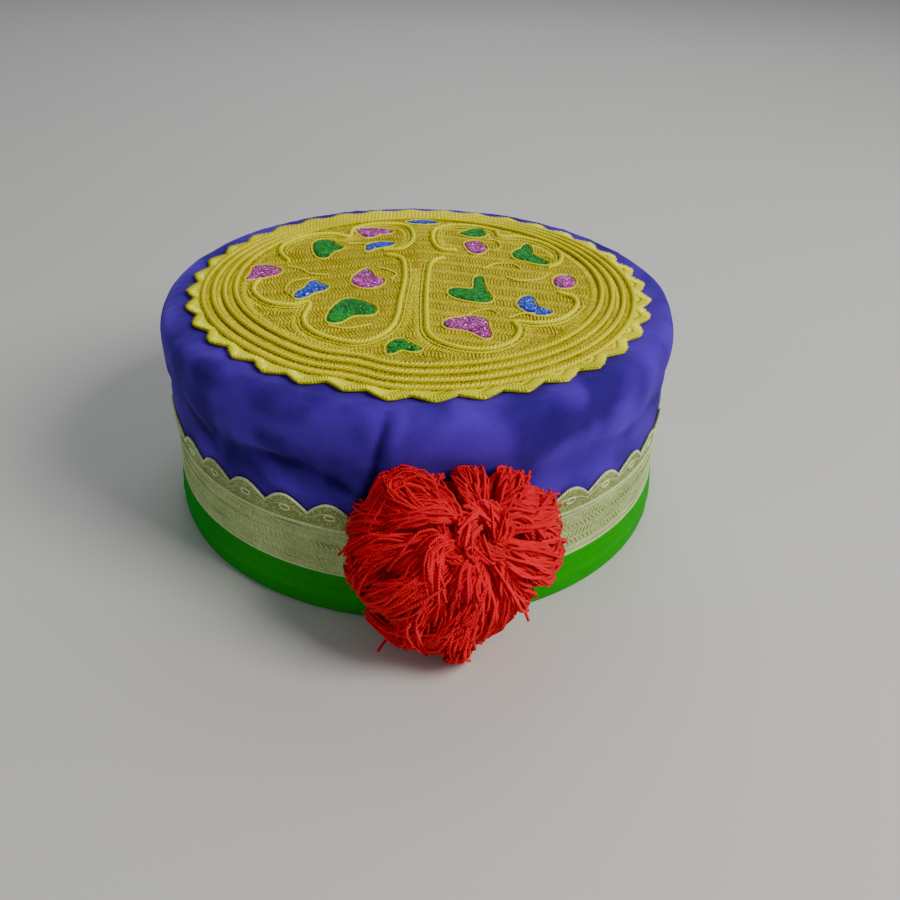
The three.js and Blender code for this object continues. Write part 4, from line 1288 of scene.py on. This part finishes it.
def level_side(path, closed):
    if closed:
        tangent = np.roll(path, -1, 0) - np.roll(path, 1, 0)
    else:
        tangent = np.gradient(path, axis=0)
    return unit(np.cross(tangent, [0.0, 0.0, 1.0]))


def border_cords():
    for row in BORDER_CORDS:
        path = border_path(row)
        path[:, 2] -= 0.1
        cord = twisted(path, BORDER_SWELL * CORD_RADIUS, BORDER_PITCH, True, level_side(path, True))
        dress(new_piece(row["name"].replace("border", "gold_border"), *cord), "gold_cord", GOLD_CORD,
              nodes=[row["name"]])


def leaf_path(points, count=140):
    return spline([flat_point(x, y, CORD_HEIGHT - 0.1) for x, y in points], count)


def leaf_cords():
    for name, points in LEAF_CORDS.items():
        path = leaf_path(points)
        cord = twisted(path, LEAF_SWELL * CORD_RADIUS, LEAF_PITCH, False, level_side(path, False))
        dress(new_piece(name.replace("leaf", "gold_leaf"), *cord), "gold_cord", GOLD_BRIGHT, nodes=[name])


def inside_leaf(name, away, height, ends):
    """A line beside a leaf's cord, on its inner side, without the points at its two ends."""
    path = leaf_path(LEAF_CORDS[name])
    inward = -1.0 if "left" in name else 1.0
    path = path + inward * away * level_side(path, False)
    path[:, 2] = height
    return path[ends:-ends]


def fine_thread(path, radius=THREAD_RADIUS, closed=False):
    side = level_side(path, closed)
    return twisted(path, radius, THREAD_PITCH, closed, side, sides=3, steps_per_turn=5)


def curls():
    """Thin twisted threads: the curls, and a second line inside each leaf."""
    threads = []
    for points in CURLS:
        threads.append(fine_thread(spline([flat_point(x, y, CLOTH_TOP + 0.75) for x, y in points], 40)))
    for name in LEAF_CORDS:
        threads.append(fine_thread(inside_leaf(name, 2.1, CLOTH_TOP + 0.65, 8), 0.42))
    dress(new_piece("gold_curls", *joined(threads)), "gold_cord", GOLD_PALE)


def rim_stitches():
    """Satin stitches over the scalloped edge."""
    azimuth = around(APPLIQUE_SCALLOPS * 24)
    path = applique_points(azimuth, applique_edge(azimuth, 1.7), CLOTH_TOP + 0.3)
    dress(stitched("rim_stitches", path, True, RIM_STITCH, 90, GOLD_BRIGHT), "gold_embroidery")


def row_stitches():
    """Rows of slanting stitches between the border cords."""
    rows = []
    for number, (outer, inner) in enumerate(zip(BORDER_CORDS, BORDER_CORDS[1:])):
        between = {key: (outer[key] + inner[key]) / 2 for key in ("radius", "back")}
        path = border_path(between)
        path[:, 2] = CLOTH_TOP + 0.32
        rows.append(stitched("stitch_row", path, True, ROW_STITCH, 68 if number % 2 else 112, GOLD_STITCH))
    dress(join("row_stitches", rows), "gold_embroidery")


def leaf_stitches():
    """Combs of short stitches inside the leaves and inside the border."""
    rows = []
    for name in LEAF_CORDS:
        path = inside_leaf(name, 3.6, CLOTH_TOP + 0.36, 14)
        rows.append(stitched("comb", path, False, LEAF_STITCH, 90, GOLD_STITCH))
    inner = border_path({"radius": 0.795, "back": 0.05})
    inner[:, 2] = CLOTH_TOP + 0.34
    rows.append(stitched("comb", inner, True, COMB_STITCH, 90, GOLD_STITCH))
    dress(join("leaf_stitches", rows), "gold_embroidery")


def field_stitches():
    """The field's herringbone: rows of short stitches that slant down from the spine, inside the border."""
    rows = []
    reach = FIELD_REACH * APPLIQUE_RADIUS
    middle = AXIS_Y + 0.045 * APPLIQUE_RADIUS
    slope = math.radians(FIELD_SLOPE)
    starts = np.arange(-reach, 1.5 * reach, FIELD_ROW / math.cos(slope))
    along = np.arange(0.6, 2 * reach, 1.0)
    for number, start in enumerate(starts):
        for side in (-1, 1):
            across = side * along * math.cos(slope)
            back = start - along * math.sin(slope)
            kept = np.hypot(across, back) < reach
            if np.count_nonzero(kept) < 4:
                continue
            path = np.column_stack([across + AXIS_X, back + middle, 0 * along + CLOTH_TOP + 0.36])[kept]
            slant = 76 if number % 2 else 104
            rows.append(stitched("field_row", path, False, FIELD_STITCH, slant, GOLD_FIELD))
    dress(join("field_stitches", rows), "gold_embroidery")


# Petals

def petal_outline(points, count=48, widen=0.0):
    """A petal's outline in millimetres, rounded at its corners and widened all round."""
    path = spline([flat_point(x, y, 0.0)[:2] for x, y in points], count, True)
    for _ in range(2):
        path = path * 0.5 + (np.roll(path, 1, 0) + np.roll(path, -1, 0)) * 0.25
    along = unit(np.roll(path, -1, 0) - np.roll(path, 1, 0))
    return path + widen * np.stack([along[:, 1], -along[:, 0]], -1)


def distance_to(points, outline):
    return np.linalg.norm(points[:, None] - outline[None], axis=-1).min(1)


def petal_shape(points):
    """A padded petal: a fine triangulated face that climbs from its outline, over a flat underside."""
    outline = petal_outline(points, widen=0.25)
    low = outline.min(0)
    high = outline.max(0)
    lines = [np.arange(low[axis], high[axis], PETAL_GRID) for axis in (0, 1)]
    grid = np.stack(np.meshgrid(*lines), -1).reshape(-1, 2)
    grid[:, 0] += PETAL_GRID / 2 * (np.round((grid[:, 1] - low[1]) / PETAL_GRID) % 2)
    grid = grid[distance_to(grid, outline) > 0.5]
    found = mathutils.geometry.delaunay_2d_cdt(
        [Vector(point) for point in np.vstack([outline, grid])], [], [list(range(len(outline)))], 1, 1e-5)
    flat = np.array(found[0])
    faces = [list(face) for face in found[2]]
    climb = 1 - np.clip(distance_to(flat, outline) / PETAL_SHOULDER, 0, 1)
    ribs = 0.12 * np.sin(flat @ np.array([5.2, 3.1]))
    height = CLOTH_TOP + 0.25 + PETAL_RISE * np.sqrt(1 - climb ** 2) + ribs * (1 - climb)
    edges = dict.fromkeys((a, b) for face in faces for a, b in zip(face, face[1:] + face[:1]))
    rim = [(a, b) for a, b in edges if (b, a) not in edges]
    count = len(flat)
    under = [[index + count for index in face[::-1]] for face in faces]
    wall = [[a + count, b + count, b, a] for a, b in rim]
    top_points = np.column_stack([flat, height])
    under_points = np.column_stack([flat, np.full(count, CLOTH_TOP - 0.3)])
    return np.vstack([top_points, under_points]), faces + under + wall


PETAL_FINISHES = {"petal_green": GREEN_PETAL, "petal_pink": PINK_PETAL, "petal_blue": BLUE_PETAL}
# Flakes per square metre, and the colours between which their shade varies
FLAKE_DENSITY = {"petal_green": 500000.0, "petal_pink": 900000.0, "petal_blue": 600000.0}
FLAKE_TINTS = {
    "petal_green": (srgb(0, 120, 26), srgb(40, 200, 70)),
    "petal_pink": (srgb(226, 60, 200), srgb(250, 225, 245)),
    "petal_blue": (srgb(40, 90, 230), srgb(205, 220, 255)),
}


def petals():
    threads = []
    for name, points in PETALS.items():
        finish = name.rsplit("_", 1)[0]
        piece = new_piece("padded_" + name, *petal_shape(points))
        dress(piece, finish, PETAL_FINISHES[finish], nodes=[name])
        edge = petal_outline(points, widen=0.75)
        path = np.column_stack([edge, np.full(len(edge), CLOTH_TOP + 0.55)])
        threads.append(fine_thread(path, closed=True))
    dress(new_piece("petal_threads", *joined(threads)), "gold_cord", GOLD_PALE)


def glitter():
    """Loose flakes on the petals, one piece for each colour."""
    for finish, tints in FLAKE_TINTS.items():
        tops = []
        for name, outline in PETALS.items():
            if name.startswith(finish):
                points, faces = petal_shape(outline)
                raised = [face for face in faces if min(points[face][:, 2]) > CLOTH_TOP + 0.5]
                tops.append((points, raised, np.zeros((sum(map(len, raised)), 2))))
        piece = new_piece(finish.replace("petal", "glitter"), *joined(tops))
        grow(piece, FLAKES, Density=FLAKE_DENSITY[finish], Size=FLAKE_SIZE * MM, Tilt=0.55, Seed=3,
             Thickness=FLAKE_THICKNESS * MM, Material=flake_material("flakes_" + finish, *tints))
        dress(piece, finish)


# Pompom

POMPOM_UP = (POMPOM_LOW[2] + POMPOM_HIGH[2]) / 2
POMPOM_HALF = np.array([POMPOM_HALF_WIDTH, POMPOM_DEPTH, (POMPOM_HIGH[2] - POMPOM_LOW[2]) / 2])
POMPOM_MIDDLE = round_points(POMPOM_AZIMUTH, POMPOM_OUT, POMPOM_UP)
POMPOM_TURN = np.array(Matrix.Rotation(math.radians(POMPOM_AZIMUTH), 3, "Z"))

# Directions in the ball are across (to the right), back (towards the hat) and up. The yarn falls
# away from this parting.
PARTING = unit(np.array([0.2, -0.72, 0.66]))

# Locks that stand out: their direction, how wide they spread, their extra length as a share, and
# how straight they stand instead of lying on the ball.
TUFTS = [
    {"way": (0.62, -0.12, 0.78), "spread": 0.3, "longer": 0.17, "stand": 1.0},
    {"way": (0.25, -0.1, 0.96), "spread": 0.2, "longer": -0.05, "stand": 0.5},
    {"way": (-0.7, -0.2, 0.7), "spread": 0.3, "longer": 0.03, "stand": 0.2},
    {"way": (-0.12, -0.5, -0.85), "spread": 0.3, "longer": 0.12, "stand": 0.1},
    {"way": (0.75, -0.35, -0.55), "spread": 0.42, "longer": -0.13, "stand": 0.0},
    {"way": (-0.85, -0.45, -0.2), "spread": 0.3, "longer": 0.03, "stand": 0.0},
]


def clear_of_hat(points):
    """Moves points out of the crown and up from the table."""
    flat = points[..., :2] - [AXIS_X, AXIS_Y]
    radius = np.linalg.norm(flat, axis=-1)
    height = points[..., 2]
    least = np.where(height < BRAID_TIP, WALL_OUTSIDE + 3.0, wall_radius(height) + 1.2)
    least = np.where(height < BINDING_TOP, BINDING_RADIUS + 1.2, least)
    grown = np.maximum(radius, least)
    moved = points.copy()
    moved[..., :2] = [AXIS_X, AXIS_Y] + flat * (grown / radius)[..., None]
    moved[..., 2] = np.maximum(height, TABLE_CLEARANCE + YARN_RADIUS)
    return moved


def placed_in_ball(points):
    """Points of the unit ball at their place on the hat, with the ball's lower half narrowed."""
    taper = POMPOM_TAPER + POMPOM_RIGHT_TAPER * np.clip(points[..., :1], 0, 1)
    narrow = 1 - taper * np.clip(-points[..., 2:], 0, 1)
    shaped = points * POMPOM_HALF * np.concatenate([narrow, 0 * narrow + 1, 0 * narrow + 1], -1)
    return shaped @ POMPOM_TURN.T + POMPOM_MIDDLE


def strand_ways(count, random):
    """Directions spread evenly over the ball, apart from its side against the hat."""
    golden = math.pi * (3 - math.sqrt(5))
    number = np.arange(count)
    rise = 1 - (2 * number + 1) / count
    across = np.sqrt(1 - rise ** 2)
    ways = np.stack([across * np.cos(golden * number), across * np.sin(golden * number), rise], -1)
    ways = ways[ways[:, 1] < BACK_LIMIT]
    return unit(ways + random.normal(0, 0.05, ways.shape))


def gathered(ways):
    """Directions drawn together in locks, with the extra length and the curl of each one's lock."""
    random = np.random.default_rng(2)
    centres = unit(random.normal(0, 1, (LOCKS, 3)))
    lock = np.argmax(ways @ centres.T, 1)
    longer = random.normal(0, 0.045, LOCKS)[lock]
    curl = random.normal(0, 0.16, LOCKS)[lock]
    return unit(ways + 0.55 * centres[lock]), longer, curl


def angle_between(ways, way):
    return np.arccos(np.clip(ways @ way, -1, 1))


def headings(ways, stand, steps, random):
    """Each strand's course over the ball, from nearer the parting to its end, or straight out."""
    turned = angle_between(ways, PARTING)
    span = np.radians(random.uniform(34, 66, len(ways)))
    start = np.maximum(turned - span, 0.05 * turned) / np.maximum(turned, 1e-6)
    share = start[:, None] + (1 - start[:, None]) * steps
    angle = np.maximum(turned, 1e-3)[:, None]
    laid = (np.sin((1 - share) * angle)[..., None] * PARTING
            + np.sin(share * angle)[..., None] * ways[:, None]) / np.sin(angle)[..., None]
    return unit(laid * (1 - stand)[:, None, None] + ways[:, None] * stand[:, None, None])


def yarn_paths(count, seed):
    """Strands of yarn that lie in locks over the ball, away from its parting, and droop at their ends."""
    random = np.random.default_rng(seed)
    ways, longer, curl = gathered(strand_ways(count, random))
    each = (len(ways), 1)
    steps = np.linspace(0, 1, YARN_STEPS)
    stand = np.zeros(len(ways))
    length = 1 + longer + random.normal(0, 0.03, len(ways))
    for tuft in TUFTS:
        near = bell(angle_between(ways, unit(np.array(tuft["way"]))), tuft["spread"])
        length = length + tuft["longer"] * near
        stand = np.maximum(stand, tuft["stand"] * near)
    heading = headings(ways, stand, steps, random)
    beside = unit(np.cross(ways, PARTING))
    waves = 0.05 * np.sin(steps[None] * 7 + random.uniform(0, 6.3, each)) * random.uniform(0.3, 1, each)
    sway = np.sin(steps * math.pi)[None] * curl[:, None] + waves
    lying = 0.66 + 0.34 * np.sin(np.clip(steps * 1.5, 0, 1) * math.pi / 2)
    standing = 0.4 + 0.6 * steps
    reach = lying[None] * (1 - stand)[:, None] + standing[None] * stand[:, None]
    paths = (heading + beside[:, None] * sway[..., None]) * (reach * length[:, None])[..., None]
    paths = placed_in_ball(paths)
    hang = (1 - np.abs(ways[:, 2:])) * (1 - stand[:, None]) * random.uniform(0.4, 1.3, each)
    paths[..., 2] -= 2.6 * smoothstep(steps, 0.5, 1.0)[None] * hang
    return clear_of_hat(paths), random


# Loose strands at the ball's foot, in millimetres across, back and up from its middle.
STRAYS = [
    [(-13, -12, -19), (-17, -10, -24), (-21, -9, -28), (-25, -13, -30.3)],
    [(-5, -14, -22), (-7, -12, -27), (-9, -11, -30.6)],
    [(-2, -13, -20), (-3, -15, -26), (-4, -18, -30.6)],
    [(2, -13, -21), (1, -15, -27), (-1, -18, -30.4)],
    [(1, -12, -20), (2, -14, -27), (3, -16, -30.6)],
    [(6, -12, -20), (8, -12, -26), (9, -13, -30.6)],
    [(18, -14, -10), (22, -13, -16), (24, -14, -21)],
]


def pompom():
    """Two layers of yarn over a dense middle, and the loose strands. Each strand has a tone of its own and
    is paler at its end: painted shade at its root, painted light at its tip.
    """
    sides = 3
    for name, seed, nodes in (("pompom_yarn", 5, ["pompom"]), ("pompom_yarn_under", 6, [])):
        paths, random = yarn_paths(YARN_COUNT, seed)
        taper = np.linspace(1.0, 0.85, YARN_STEPS)[None]
        radius = YARN_RADIUS * taper * random.uniform(0.8, 1.2, (len(paths), 1))
        piece = new_piece(name, *tubes(paths, radius, sides, up=(0.31, -0.2, 0.93)))
        # A random tone for each strand, plus painted shade near its root and painted light towards its end
        tones_and_root_shade = random.normal(0.5, 0.24, (len(paths), 1)) + np.linspace(-0.15, 0.3, YARN_STEPS)
        add_attribute(piece, "shade", np.repeat(np.clip(tones_and_root_shade, 0, 1).reshape(-1), sides))
        dress(piece, "wool", WOOL, nodes=nodes)
    pompom_heart()
    stray_yarn()


def pompom_heart():
    """The dense middle that shows between the strands."""
    columns = 72
    rows = 36
    up = np.linspace(-0.98, 0.98, rows)[:, None]
    turn = np.arange(columns) * 2 * math.pi / columns
    out = np.sqrt(1 - up ** 2)
    ball = np.stack([out * np.sin(turn), -out * np.cos(turn), up + 0 * turn], -1)
    bumps = HEART_SHARE + 0.03 * ripple(np.degrees(turn), up * 2, (6, 24), 51)
    points = clear_of_hat(placed_in_ball(ball * bumps[..., None]))
    faces = grid_faces(rows, columns).tolist()
    faces.append(list(range(columns))[::-1])
    faces.append([(rows - 1) * columns + i for i in range(columns)])
    pattern = np.vstack([grid_pattern(rows, columns, False, (90.0, 90.0)), np.zeros((2 * columns, 2))])
    piece = new_piece("pompom_heart", points.reshape(-1, 3), faces, pattern)
    # The middle takes the wool's darkest colour: painted shade deep between the strands
    add_attribute(piece, "shade", np.zeros(len(piece.data.vertices)))
    dress(piece, "wool", WOOL)


def stray_yarn():
    """Long loose strands that hang out of the ball."""
    paths = np.array([spline(points, 18) for points in STRAYS]) @ POMPOM_TURN.T + POMPOM_MIDDLE
    strands = tubes(clear_of_hat(paths), YARN_RADIUS * 0.85, 5, up=(0.3, 0.2, 0.9))
    piece = new_piece("pompom_strays", *strands)
    add_attribute(piece, "shade", np.full(len(piece.data.vertices), 0.6))
    dress(piece, "wool", WOOL)


# Room

FLOOR_HALF = 3000.0
SKY_COLOUR = (0.8, 0.88, 0.95, 1.0)
SKY_STRENGTH = 0.26

# Square lights: their place and width in metres, their power in watts and their colour.
SOFTBOXES = {
    "key": {"place": (0.8, -0.45, 0.85), "size": 0.55, "power": 14.5, "tint": (1.0, 0.98, 0.95)},
    "fill": {"place": (-0.8, -0.9, 0.5), "size": 0.9, "power": 1.0, "tint": (0.92, 0.96, 1.0)},
    "back": {"place": (0.1, 0.9, 0.9), "size": 0.8, "power": 4.0, "tint": (0.95, 0.98, 1.0)},
}


def floor():
    corners = [(-1, -1, 0), (1, -1, 0), (1, 1, 0), (-1, 1, 0)]
    piece = new_piece("floor", FLOOR_HALF * np.array(corners), [(0, 1, 2, 3)], smooth=False)
    piece.data.materials.append(floor_material())


# The camera that the photograph fits, in millimetres from the hat's axis at the table.
CAMERA_PLACE = (0.0, -350.03, 232.58)
CAMERA_AIM = (13.12, 0.0, 8.68)
CAMERA_ROLL = 1.53
CAMERA_LENS = 40.0
CAMERA_SENSOR = 36.0


def camera():
    axis = Vector((AXIS_X, AXIS_Y, 0.0))
    place = Vector(CAMERA_PLACE) + axis
    aim = Vector(CAMERA_AIM) + axis
    back = (place - aim).normalized()
    right = Vector((0, 0, 1)).cross(back).normalized()
    up = back.cross(right)
    cosine = math.cos(math.radians(CAMERA_ROLL))
    sine = math.sin(math.radians(CAMERA_ROLL))
    data = bpy.data.cameras.new("camera")
    data.lens = CAMERA_LENS
    data.sensor_width = CAMERA_SENSOR
    data.clip_start = 0.01
    made = bpy.data.objects.new("camera", data)
    axes = Matrix((cosine * right + sine * up, cosine * up - sine * right, back)).transposed()
    made.matrix_world = Matrix.Translation(place * MM) @ axes.to_4x4()
    bpy.context.scene.collection.objects.link(made)
    bpy.context.scene.camera = made


def softbox(name, place, size, power, tint):
    """A square light turned to the hat."""
    data = bpy.data.lights.new(name, "AREA")
    data.size = size
    data.energy = power
    data.color = tint
    light = bpy.data.objects.new(name, data)
    light.location = place
    light.rotation_euler = (Vector((0, 0, 0.05)) - Vector(place)).to_track_quat("-Z", "Y").to_euler()
    bpy.context.scene.collection.objects.link(light)


def lights():
    for name, light in SOFTBOXES.items():
        softbox(name, **light)
    world = bpy.data.worlds.new("studio")
    world.use_nodes = True
    sky = world.node_tree.nodes["Background"].inputs
    sky["Color"].default_value = SKY_COLOUR
    sky["Strength"].default_value = SKY_STRENGTH
    bpy.context.scene.world = world


camera()
lights()
floor()
velvet_side()
velvet_top()
green_binding()
lace_band()
lace_cords()
lace_bars()
lace_eyes()
gold_ground()
border_cords()
leaf_cords()
curls()
rim_stitches()
row_stitches()
leaf_stitches()
field_stitches()
petals()
glitter()
pompom()
